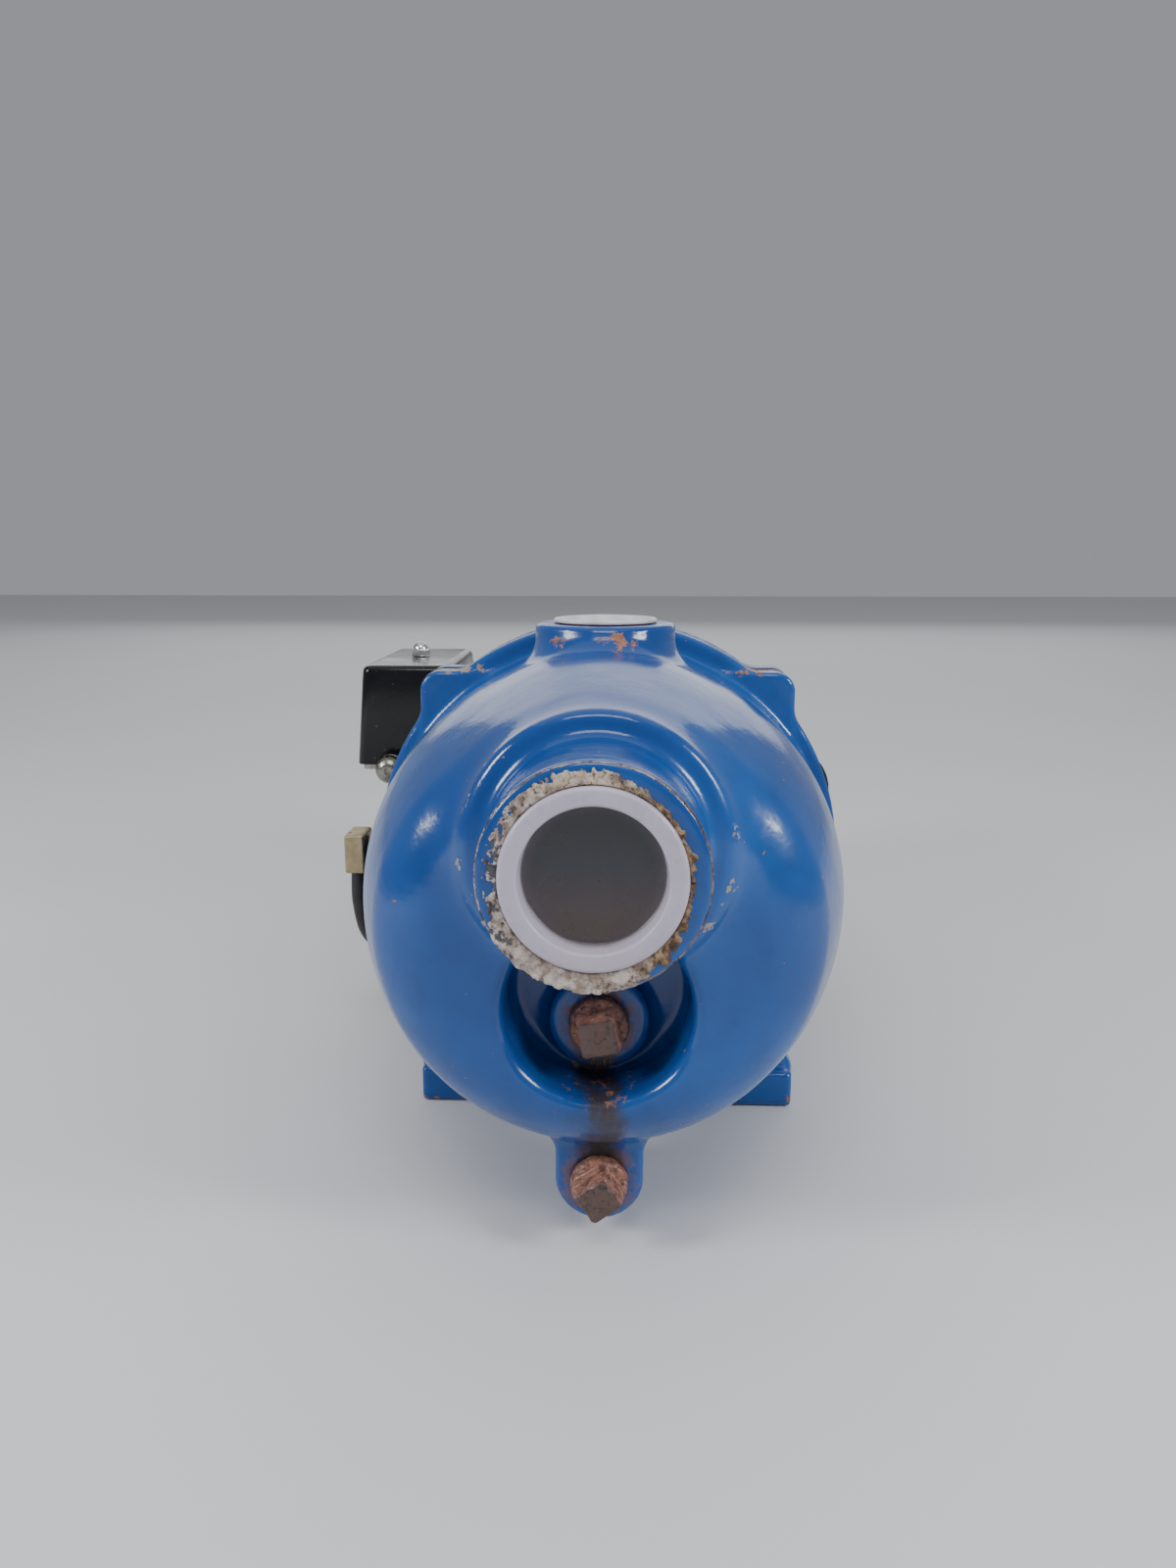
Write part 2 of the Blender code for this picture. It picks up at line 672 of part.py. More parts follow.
def make_seal(body):
    shaft = SHAFT_RADIUS + FIT
    solid("seal_seat", washer(shaft + 1, 16.4, 2, 7.6), "ceramic")
    head = [(shaft, -3.5), (13.5, -3.5), (13.5, 0.4), (12, 0.4), (12, 1.7), (shaft + 0.6, 1.7)]
    solid("seal_head", turned(head + [(shaft + 0.6, 0), (shaft, 0)]), "rubber", (0, 0, SHAFT_Z), body)
    spring = coil(11.6, 0.7, -10.6, -3.9, 3, "Y", (0, 0, SHAFT_Z))
    solid("seal_spring", spring, "shaft_steel", (0, 0, SHAFT_Z), body)
    slinger = [(shaft, 27), (11, 27), (11, 29), (15, 29.5), (15, 31), (11, 31.5), (11, 33), (shaft, 33)]
    solid("shaft_slinger", turned(slinger, SMALL), "rubber", (0, 0, SHAFT_Z), body)


# Motor


def tie_places():
    offset = TIE_RADIUS / math.sqrt(2)
    return [(x, SHAFT_Z + z) for z in (offset, -offset) for x in (-offset, offset)]


def make_shaft(body):
    thread, seat, core = 5.0, 10.0, 11.0
    profile = [(0, -34), (thread, -34), (thread, -27.7), (SHAFT_RADIUS, -27.7), (SHAFT_RADIUS, 58)]
    profile += [(seat, 58), (seat, 78), (core, 78), (core, 203), (seat, 203), (seat, 222)]
    profile += [(SHAFT_RADIUS, 222), (SHAFT_RADIUS, 244), (SHAFT_RADIUS - 1, 245), (0, 245)]
    solid("motor_shaft", turned(profile), "shaft_steel", (0, 0, SHAFT_Z), body)


def make_bearings(body):
    """Each sealed bearing is an outer race with its shields, and an inner race on the shaft."""
    for name, start in (("front", 60.3), ("rear", 205.0)):
        end = start + 14
        outer = [(15.2, start + 0.6), (20, start + 0.6), (20, start), (BEARING_OUTER, start)]
        outer += [(BEARING_OUTER, end), (20, end), (20, end - 0.6), (15.2, end - 0.6)]
        solid(f"{name}_bearing_outer", turned(outer), "shaft_steel")
        inner = washer(BEARING_INNER, 14.8, start, end)
        solid(f"{name}_bearing_inner", inner, "shaft_steel", (0, 0, SHAFT_Z), body)


def make_rotor(body):
    bore, ring_in, ring_out, core = 11.3, 22.0, 33.0, 35.7
    profile = [(bore, STACK_FRONT), (ring_in, STACK_FRONT), (ring_in, STACK_FRONT - 8)]
    profile += [(ring_out, STACK_FRONT - 8), (ring_out, STACK_FRONT), (core, STACK_FRONT)]
    profile += [(core, STACK_BACK), (ring_out, STACK_BACK), (ring_out, STACK_BACK + 8)]
    profile += [(ring_in, STACK_BACK + 8), (ring_in, STACK_BACK), (bore, STACK_BACK)]
    solid("rotor_core", turned(profile), "lamination", (0, 0, SHAFT_Z), body)


def make_stator():
    """Laminations with a ring of winding slots and a groove for each tie bolt, and two winding heads."""
    bore, slot_bottom, slots = 36.3, 50.0, 24
    stack = rod(MOTOR_RADIUS - SHELL_WALL - FIT, STACK_FRONT, STACK_BACK, steps=LARGE)
    stator = solid("stator_core", stack, "lamination")
    outline = []
    for i in range(slots):
        middle = 360.0 * i / slots
        for radius, offset in ((bore, -2.4), (slot_bottom, -3.2), (slot_bottom, 3.2), (bore, 2.4)):
            angle = math.radians(middle + offset)
            outline.append((radius * math.cos(angle), SHAFT_Z + radius * math.sin(angle)))
    cut(stator, prism(outline, STACK_FRONT - 3, STACK_BACK + 3))
    for x, z in tie_places():
        cut(stator, rod(3.4, STACK_FRONT - 5, STACK_BACK + 5, "Y", (x, 0, z), TINY))
    head_in, head_out, depth = 39.0, 55.0, 13.0
    for name, start in (("front", STACK_FRONT - FIT - depth), ("rear", STACK_BACK + FIT)):
        middle = (head_in + head_out) / 2
        profile = []
        for a, b in circle(1.0, 8):
            profile.append((middle + (head_out - head_in) / 2 * a, start + depth / 2 * (1 + b)))
        solid(f"winding_{name}", turned(profile), "copper")


def make_motor_frame():
    inner = MOTOR_RADIUS - SHELL_WALL
    shell = washer(inner, MOTOR_RADIUS, SHELL_FRONT, SHELL_BACK, steps=LARGE)
    solid("motor_shell", shell, "black_paint")
    hub, pocket, hole = 29.0, BEARING_OUTER + FIT, 12.0
    web = 6.0
    front = [(hole, BELL_FRONT), (MOTOR_RADIUS, BELL_FRONT), (MOTOR_RADIUS, SHELL_FRONT - FIT)]
    front += [(inner, SHELL_FRONT - FIT), (inner, BELL_FRONT + web), (hub, BELL_FRONT + web)]
    front += [(hub, 76), (pocket, 76), (pocket, 59), (hole, 59)]
    front_bell = solid("front_end_bell", turned(front, LARGE), "bell_aluminium")
    rear = [(hole, REAR_BELL_BACK), (MOTOR_RADIUS - 3, REAR_BELL_BACK), (MOTOR_RADIUS, REAR_BELL_BACK - 3)]
    rear += [(MOTOR_RADIUS, SHELL_BACK + FIT), (inner, SHELL_BACK + FIT), (inner, REAR_BELL_BACK - web)]
    rear += [(hub, REAR_BELL_BACK - web), (hub, 204), (pocket, 204), (pocket, 220), (hole, 220)]
    rear_bell = solid("rear_end_bell", turned(rear, LARGE), "bell_aluminium")
    for x, z in tie_places():
        cut(front_bell, rod(3.0, BELL_FRONT - 4, BELL_FRONT + 14, "Y", (x, 0, z), TINY))
        cut(rear_bell, rod(3.0, REAR_BELL_BACK - 14, REAR_BELL_BACK + 4, "Y", (x, 0, z), TINY))
    for number, (x, z) in enumerate(tie_places(), 1):
        shank = rod(2.4, DRUM_BACK - 12, REAR_BELL_BACK + 2, "Y", (x, 0, z), 8)
        bolt = solid(f"through_bolt_{number}", shank, "zinc_steel", (x, 0, z))
        join(bolt, hexagon(8.0, REAR_BELL_BACK + FIT, REAR_BELL_BACK + 4.2, at=(x, z)))
    return rear_bell


def make_fan(body):
    hub = washer(SHAFT_RADIUS + FIT, 14, 229, 243)
    fan = solid("cooling_fan", hub, "moulded_black", (0, 0, SHAFT_Z), body)
    join(fan, washer(12, 52, 229.5, 231.5))
    bladed(fan, 8, 12, 55, 0, 2.0, 230.5, 242)


def radial_rod(radius, start, end, angle, y, steps=8):
    bm = rod(radius, start, end, "X", (0, y, 0), steps)
    spin = Matrix.Rotation(-math.radians(angle), 3, "Y")
    bmesh.ops.rotate(bm, cent=(0, 0, 0), matrix=spin, verts=bm.verts)
    bmesh.ops.translate(bm, verts=bm.verts, vec=(0, 0, SHAFT_Z))
    return bm


def make_fan_cover(rear_bell):
    inner = MOTOR_RADIUS + 0.4
    outer = inner + 1.4
    front, corner, sheet = 206.0, 9.0, 1.5
    centre = (outer - corner, COWL_BACK - corner)
    profile = [(inner, front), (outer, front)] + arc(centre, corner, 0, 90, 3)
    profile += [(0, COWL_BACK), (0, COWL_BACK - sheet)] + arc(centre, corner - sheet, 90, 0, 2)
    cover = solid("fan_cover", turned(profile, LARGE), "black_paint")
    pitch, slot, hub, reach = 11.0, 5.0, 13.0, 52.0
    for row in range(-4, 5):
        height = abs(row * pitch)
        far = math.sqrt(reach**2 - height**2)
        near = math.sqrt(max(hub**2 - height**2, 3.0**2))
        z = SHAFT_Z + row * pitch
        for low, high in ((-far, -near), (near, far)):
            cut(cover, block((low, COWL_BACK - 5, z - slot / 2), (high, COWL_BACK + 5, z + slot / 2)))
    for number, angle in enumerate(SCREW_ANGLES, 1):
        cut(cover, radial_rod(2.3, inner - 4, outer + 4, angle, SCREW_Y))
        cut(rear_bell, radial_rod(2.2, inner - 9, inner + 4, angle, SCREW_Y))
        shank = radial_rod(1.8, inner - 6, outer + 1, angle, SCREW_Y)
        screw = solid(f"fan_cover_screw_{number}", shank, "zinc_steel")
        join(screw, radial_rod(3.6, outer + FIT, outer + 2.2, angle, SCREW_Y, TINY))


def make_capacitor():
    """A run capacitor under its own cover, on the motor's right side."""
    x, z, y0, y1 = MOTOR_RADIUS + 17.0, SHAFT_Z, 104.0, 184.0
    solid("capacitor", rod(14.5, y0 + 6, y1 - 6, "Y", (x, 0, z), MEDIUM, 1.5), "moulded_black")
    outline = arc((x, z), 18.0, -90, 90, 6)
    back = MOTOR_RADIUS - 3.0
    outline += [(back, z + 18), (back, z - 18)]
    cover = solid("capacitor_cover", prism(outline, y0, y1), "black_paint")
    hollow = arc((x, z), 16.2, -90, 90, 6) + [(back - 4, z + 16.2), (back - 4, z - 16.2)]
    cut(
        cover,
        prism(hollow, y0 + 2, y1 - 2),
        rod(MOTOR_RADIUS + FIT, y0 - 5, y1 + 5, steps=LARGE),
    )


# Pressure switch


def box_ring(half, inset, radius, z):
    """One level of the switch cover: a rounded rectangle inset at both ends."""
    low = (SWITCH_X - half, SWITCH_Y - SWITCH_HALF_LENGTH + inset)
    high = (SWITCH_X + half, SWITCH_Y + SWITCH_HALF_LENGTH - inset)
    return [(a, b, z) for a, b in rounded_rectangle(low, high, radius, 3)]


def make_switch_cover(body):
    top_half, bottom_half, wall = 20.0, 24.0, 1.6
    outer = [box_ring(bottom_half, 0.0, 4.0, SWITCH_FLOOR), box_ring(top_half, 1.5, 4.0, SWITCH_TOP - 2.5)]
    outer.append(box_ring(top_half - 2.5, 4.0, 4.0, SWITCH_TOP))
    inner = [box_ring(bottom_half - wall, wall, 2.6, SWITCH_FLOOR - 3)]
    inner.append(box_ring(top_half - wall - 1, wall + 1.5, 2.6, SWITCH_TOP - wall))
    at = (SWITCH_X, SWITCH_Y, 0)
    pivot = (SWITCH_X, SWITCH_Y, SWITCH_FLOOR)
    cover = solid("switch_cover", skinned(outer), "black_paint", pivot, body)
    cut(cover, skinned(inner), rod(3.2, SWITCH_TOP - 6, SWITCH_TOP + 6, "Z", at, TINY))
    seat = SWITCH_TOP + FIT
    acorn = [(0, seat + 7.6)] + arc((0, seat + 3.4), 4.2, 90, 0, 4)[1:] + [(4.2, seat), (0, seat)]
    nut = solid("switch_cover_nut", turned(acorn, SMALL, "Z", at), "nickel", pivot, body)
    join(nut, hexagon(8.6, seat + 0.4, seat + 3.6, "Z", (SWITCH_X, SWITCH_Y)))
    cut(nut, rod(2.7, seat - 3, seat + 4.5, "Z", at, TINY))


def make_switch(lever_body):
    """The switch's works: base plate, gland, stud, contacts, lever, spring, bracket and diaphragm cup.

    It returns the height of the cup's lower end.
    """
    at = (SWITCH_X, SWITCH_Y, 0)
    front, back = SWITCH_Y - SWITCH_HALF_LENGTH, SWITCH_Y + SWITCH_HALF_LENGTH
    top = SWITCH_FLOOR - FIT
    sheet = 2.5
    outline = rounded_rectangle((SWITCH_X - 22, front + 3), (SWITCH_X + 22, back - 3), 3.0, 3)
    base = solid("switch_base", prism(outline, top - sheet, top, "Z"), "zinc_steel")
    gland_x, gland_z, tab_half = SWITCH_X - 7.5, top - 1.2, 6.0
    tab = block((gland_x - tab_half, front, gland_z - tab_half), (gland_x + tab_half, front + 3.4, top - 0.6))
    join(base, tab)
    cut(base, rod(4.4, top - 6, top + 4, "Z", at, SMALL))
    gland = [(0, front - 9), (3.2, front - 9), (6.4, front - 6.2), (6.9, front - 4)]
    gland += [(6.9, front - FIT), (0, front - FIT)]
    gland = turned(gland, SMALL, "Y", (gland_x, 0, gland_z))
    solid("conduit_gland", gland, "nickel", (gland_x, front, gland_z))
    solid("switch_stud", rod(2.4, top - 5.2, SWITCH_TOP + 3.6, "Z", at, TINY), "zinc_steel")

    contacts = block((SWITCH_X - 17, SWITCH_Y + 8, top + FIT), (SWITCH_X + 17, back - 8, top + 17))
    contacts = solid("contact_block", contacts, "phenolic")
    for i in (-1, 0, 1):
        x = SWITCH_X + i * 10.5
        cut(contacts, block((x - 3.2, SWITCH_Y + 20, top + 9), (x + 3.2, back - 4, top + 21)))

    hinge_y, hinge_z = SWITCH_Y + LEVER_Y, SWITCH_FLOOR + LEVER_Z
    lever = block((SWITCH_X - 9, hinge_y + 1, hinge_z - 1), (SWITCH_X + 9, SWITCH_Y + 6, hinge_z + 1))
    lever = solid("switch_lever", lever, "zinc_steel", (SWITCH_X, hinge_y, hinge_z), lever_body)
    join(lever, rod(2.6, SWITCH_X - 9, SWITCH_X + 9, "X", (0, hinge_y, hinge_z), SMALL))
    cut(lever, rod(4.4, hinge_z - 6, hinge_z + 6, "Z", at, SMALL))
    spring = coil(6.6, 0.9, hinge_z + 3.2, top + 30, 4, "Z", at)
    solid("switch_spring", spring, "shaft_steel")

    bracket_top = top - sheet - FIT
    half_length = 26.0
    x_low, x_high = SWITCH_X - 13.5, -MOTOR_RADIUS - 1.2
    low, high = SWITCH_Y - half_length, SWITCH_Y + half_length
    shelf = block((x_low, low, bracket_top - sheet), (x_high, high, bracket_top))
    bracket = solid("switch_bracket", shelf, "black_paint")
    join(bracket, block((x_high - 3.5, low, bracket_top - 30), (x_high, high, bracket_top - 0.4)))
    cut(bracket, rod(6.4, bracket_top - 6, bracket_top + 4, "Z", at, SMALL))

    cup_top = bracket_top - sheet - FIT
    cup = [(0, cup_top), (5.8, cup_top), (5.8, cup_top - 1), (15, cup_top - 1), (16.5, cup_top - 2.5)]
    cup += [(16.5, cup_top - 9), (15, cup_top - 11), (10.5, cup_top - 19), (9, cup_top - 24)]
    cup.append((0, cup_top - 24))
    solid("diaphragm_housing", turned(cup, MEDIUM, "Z", at), "zinc_steel")
    return cup_top - 24


def smooth_point(before, first, second, after, t):
    """A point of the Catmull-Rom curve between first and second."""
    linear = (second - before) * t
    square = (2 * before - 5 * first + 4 * second - after) * t**2
    cube = (3 * first - before - 3 * second + after) * t**3
    return 0.5 * (2 * first + linear + square + cube)


def tube_route(start, end):
    """Points of the sensing tube, evenly spaced along one smooth curve that hangs between its ends."""
    knots = [start, start + Vector((0, 0, -14)), Vector((-104.5, 50, 50)), Vector((-102, 84, 33))]
    knots += [Vector((-99.5, 124, 33)), end + Vector((0, 0, -13)), end]
    knots = [knots[0] * 2 - knots[1]] + knots + [knots[-1] * 2 - knots[-2]]
    fine = []
    for i in range(1, len(knots) - 2):
        for step in range(24):
            fine.append(smooth_point(*knots[i - 1 : i + 3], step / 24))
    fine.append(end)
    points, left = [fine[0]], TUBE_SPACING
    for first, second in zip(fine, fine[1:]):
        length = (second - first).length
        while length >= left:
            first = first + (second - first).normalized() * left
            length -= left
            points.append(first)
            left = TUBE_SPACING
        left -= length
    if (points[-1] - end).length < TUBE_SPACING / 2:
        points.pop()
    return points + [end]


def make_sensing_line(port_z):
    """The brass elbow on the adapter, and the tube that leads its pressure to the switch."""
    width, length, height = 8.3, 17.0, 16.4
    low = (ELBOW_X - width / 2, ELBOW_Y - length / 2, ELBOW_Z - height / 2)
    high = (ELBOW_X + width / 2, ELBOW_Y + length / 2, ELBOW_Z + height / 2)
    elbow = solid("tube_elbow", block(low, high), "brass", (ELBOW_X, ELBOW_Y, ELBOW_Z))
    cut(elbow, rod(2.2, low[2] - 3, ELBOW_Z, "Z", (ELBOW_X, ELBOW_Y, 0), TINY))
    nipple = [(2.0, high[0] + FIT), (6.4, high[0] + FIT), (6.4, -89), (5.1, -89)]
    nipple += [(5.1, -63), (2.0, -63)]
    nipple = turned(nipple, SMALL, "X", (0, ELBOW_Y, ELBOW_Z))
    solid("elbow_nipple", nipple, "black_paint", (ELBOW_X, ELBOW_Y, ELBOW_Z))
    fitting = washer(2.0, 5.4, port_z - 8, port_z - FIT, "Z", (SWITCH_X, SWITCH_Y, 0), SMALL)
    solid("switch_fitting", fitting, "brass", (SWITCH_X, SWITCH_Y, port_z))
    start = Vector((ELBOW_X, ELBOW_Y, low[2] - 3 * FIT))
    end = Vector((SWITCH_X, SWITCH_Y, port_z - 8 - 4 * FIT))
    curve = bpy.data.curves.new("sensing_tube", "CURVE")
    curve.dimensions = "3D"
    curve.bevel_depth = TUBE_RADIUS * TO_METRES
    curve.bevel_resolution = 3
    curve.use_fill_caps = True
    route = tube_route(start, end)
    spline = curve.splines.new("POLY")
    spline.points.add(len(route) - 1)
    for point, place in zip(spline.points, route):
        point.co = (*((place + Vector((0, JOINT_Y, 0))) * TO_METRES), 1)
    tube = bpy.data.objects.new("sensing_tube", curve)
    curve.materials.append(bpy.data.materials["rubber"])
    bpy.context.scene.collection.objects.link(tube)


def main():
    clear_scene()
    make_materials()
    rotor = pivot_empty("rotor_axis", (0, 0, SHAFT_Z))
    suction = pivot_empty("suction_cap_axis", (0, PORT_FACE, PORT_Z))
    discharge = pivot_empty("discharge_cap_axis", (0, DISCHARGE_Y, DISCHARGE_TOP))
    upper = pivot_empty("upper_plug_axis", (0, PLUG_FACE, PLUG_Z))
    drain = pivot_empty("drain_plug_axis", (0, DRAIN_FACE, DRAIN_Z))
    cover = pivot_empty("switch_cover_axis", (SWITCH_X, SWITCH_Y, SWITCH_FLOOR))
    lever = pivot_empty("switch_lever_axis", (SWITCH_X, SWITCH_Y + LEVER_Y, SWITCH_FLOOR + LEVER_Z))
    make_casing()
    make_suction_cap(suction)
    make_discharge_cap(discharge)
    make_plug("upper_plug", PLUG_FACE, PLUG_Z, 12.0, upper)
    make_plug("drain_plug", DRAIN_FACE, DRAIN_Z, 14.0, drain)
    make_gasket()
    make_adapter()
    make_flange_bolts()
    make_ejector()
    make_diffuser()
    make_impeller(rotor)
    make_seal(rotor)
    make_shaft(rotor)
    make_bearings(rotor)
    make_rotor(rotor)
    make_stator()
    rear_bell = make_motor_frame()
    make_fan(rotor)
    make_fan_cover(rear_bell)
    make_capacitor()
    make_switch_cover(cover)
    port_z = make_switch(lever)
    make_sensing_line(port_z)


main()
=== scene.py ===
"""Shallow-well jet pump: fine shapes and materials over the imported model.

Shapes here are in millimetres and y is measured from the joint plane of the casing, as in the part's
own drawing; place() moves them into the frame, in metres.
"""

import json
import math
from itertools import product

import bmesh
import bpy
import numpy as np
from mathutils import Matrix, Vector, noise


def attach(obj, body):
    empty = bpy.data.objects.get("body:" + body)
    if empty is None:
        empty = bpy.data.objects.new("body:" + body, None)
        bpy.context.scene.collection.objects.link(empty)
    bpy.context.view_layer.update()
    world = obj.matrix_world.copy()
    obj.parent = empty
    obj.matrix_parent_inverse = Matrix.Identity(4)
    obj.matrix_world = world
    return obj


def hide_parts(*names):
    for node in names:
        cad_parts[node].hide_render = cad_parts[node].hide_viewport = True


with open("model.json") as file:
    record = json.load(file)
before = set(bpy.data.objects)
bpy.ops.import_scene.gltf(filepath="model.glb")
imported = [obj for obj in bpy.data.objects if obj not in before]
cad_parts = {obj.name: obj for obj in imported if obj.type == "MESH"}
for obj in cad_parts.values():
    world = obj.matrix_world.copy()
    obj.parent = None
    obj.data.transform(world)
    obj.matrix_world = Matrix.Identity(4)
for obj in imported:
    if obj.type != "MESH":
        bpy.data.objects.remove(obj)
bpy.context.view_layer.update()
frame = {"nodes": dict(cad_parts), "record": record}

JOINT_Y = -42.0
SHAFT_Z = 105.0
PORT_Z = 136.7
PORT_FACE = -156.0
PORT_BORE = 20.5
PORT_SEAT = 24.9  # a shallow step round the bore for the cap's flange
CAP_FLANGE = 24.0
DISCHARGE_Y = -34.0
DISCHARGE_TOP = 191.4
PLUG_Z = 74.7
PLUG_FACE = -100.0
DRAIN_Z = 19.5
DRAIN_FACE = -96.0
PLUG_BORE = 7.5
POCKET_Z = 84.0
FLANGE_RADIUS = 85.0
EAR_BOLT = 57.0
MOTOR_RADIUS = 66.0
TIE_RADIUS = 60.5
SCREW_ANGLES = (20, 160, 270)
SCREW_Y = 213.0
SLOT_PITCH = 11.0  # between rows of slots in the fan cover
GAP = 0.3  # between pieces that touch
SHEET = 2.5  # thickness of the switch's base and of its bracket
SWITCH = (-98.5, 160.5)
SWITCH_HALF_LENGTH = 46.5
SWITCH_FLOOR = 112.7
SWITCH_TOP = 160.0
CUP_TOP = SWITCH_FLOOR - 3 * GAP - 2 * SHEET
CUP_BOTTOM = CUP_TOP - 24
ELBOW = (-105.3, 38.5, 90.9)
TUBE_RADIUS = 3.4

ROOT = "pump_body"
SLOTS = {}  # the material slot of each piece, by its name


# Objects


def place(points):
    return (np.asarray(points, float) + (0.0, JOINT_Y, 0.0)) / 1000.0


def facing_out(name, points, faces):
    """A mesh from points in millimetres, with its faces turned outwards."""
    mesh = bpy.data.meshes.new(name)
    mesh.from_pydata(place(points).tolist(), [], [list(map(int, f)) for f in faces])
    mesh.validate()
    bm = bmesh.new()
    bm.from_mesh(mesh)
    bmesh.ops.recalc_face_normals(bm, faces=bm.faces)
    bm.to_mesh(mesh)
    bm.free()
    return mesh


def piece(name, points, faces, nodes, slot, body=ROOT, sharp=35.0):
    """A new object from points in millimetres that stands for the named CAD nodes."""
    mesh = facing_out(name, points, faces)
    mesh.shade_smooth()
    if sharp:
        mesh.set_sharp_from_angle(angle=math.radians(sharp))
    obj = bpy.data.objects.new(name, mesh)
    bpy.context.scene.collection.objects.link(obj)
    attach(obj, body)
    if nodes:
        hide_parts(*nodes)
    SLOTS[name] = slot
    return obj


# Turned pieces


def soften(profile, size, steps=3, closed=False):
    """Rounds the corners of a profile of (radius, distance along the axis) points."""
    count = len(profile)
    result = []
    for i, point in enumerate(profile):
        ends = not closed and i in (0, count - 1)
        if ends or point[0] == 0:
            result.append(point)
            continue
        p = np.array(point, float)
        before = np.array(profile[i - 1], float) - p
        after = np.array(profile[(i + 1) % count], float) - p
        lengths = np.linalg.norm(before), np.linalg.norm(after)
        cut = min(size, 0.45 * lengths[0], 0.45 * lengths[1])
        a, b = p + before / lengths[0] * cut, p + after / lengths[1] * cut
        for step in range(steps + 1):
            t = step / steps
            result.append(tuple((1 - t) ** 2 * a + 2 * t * (1 - t) * p + t * t * b))
    return result


def lathe(profile, size=0.5, steps=96, axis="Y", at=(0.0, 0.0, SHAFT_Z), closed=None):
    """Points and faces of a turned solid with softened corners."""
    if closed is None:
        closed = profile[0][0] > 0
    profile = soften(profile, size, closed=closed)
    points, loops = [], []
    for radius, along in profile:
        if radius == 0:
            loops.append([len(points)])
            points.append((0.0, 0.0, along))
        else:
            loops.append(list(range(len(points), len(points) + steps)))
            for i in range(steps):
                angle = 2 * math.pi * i / steps
                points.append((radius * math.cos(angle), radius * math.sin(angle), along))
    faces = []
    pairs = list(zip(loops, loops[1:]))
    if closed:
        pairs.append((loops[-1], loops[0]))
    for first, second in pairs:
        if len(first) == len(second) == 1:
            continue
        for i in range(steps):
            j = (i + 1) % steps
            if len(first) == 1:
                faces.append((first[0], second[j], second[i]))
            elif len(second) == 1:
                faces.append((first[i], first[j], second[0]))
            else:
                faces.append((first[i], first[j], second[j], second[i]))
    points = np.array(points)
    if axis == "Y":
        points = points[:, [0, 2, 1]] * (1, 1, -1)
    elif axis == "X":
        points = points[:, [2, 1, 0]] * (1, 1, -1)
    return points + np.array(at), faces


def merged(*shapes):
    """Several (points, faces) as one."""
    points, faces, base = [], [], 0
    for some, those in shapes:
        points.append(np.asarray(some, float))
        faces += [tuple(i + base for i in f) for f in those]
        base += len(some)
    return np.concatenate(points), faces


# Cast pieces: distance fields in millimetres, blended with round fillets


def fillet(a, b, size):
    """Union of two fields with a fillet."""
    u, v = np.maximum(size - a, 0), np.maximum(size - b, 0)
    return np.maximum(size, np.minimum(a, b)) - np.hypot(u, v)


def rounded(a, b, size):
    """Intersection of two fields with a rounded edge."""
    return -fillet(-a, -b, size)


def carve(a, b, size):
    return rounded(a, -b, size)


def soft(a, b, size):
    """Union with a long, shallow blend."""
    share = np.maximum(size - np.abs(a - b), 0) / size
    return np.minimum(a, b) - share * share * size / 4


def slab(value, low, high):
    return np.maximum(low - value, value - high)


def rounded_box(x, y, z, centre, half, radius):
    q = [np.abs(v - c) - h + radius for v, c, h in zip((x, y, z), centre, half)]
    outside = np.sqrt(sum(np.maximum(v, 0) ** 2 for v in q))
    return outside + np.minimum(np.maximum(np.maximum(q[0], q[1]), q[2]), 0) - radius


def ear_plate(x, z, radius=7.0):
    a, b = np.abs(x) - 68 + radius, np.abs(z - SHAFT_Z) - 67 + radius
    return np.hypot(np.maximum(a, 0), np.maximum(b, 0)) + np.minimum(np.maximum(a, b), 0) - radius


def dome_field(x, y, z, inset=0.0):
    up = z - SHAFT_Z
    up = np.where(up > 0, up / 0.955, up)
    side = np.hypot(np.hypot(x, up) + 70, np.minimum(y + 45, 0)) - 150 + inset
    return rounded(side, -116.8 + inset - y, 13 - inset)


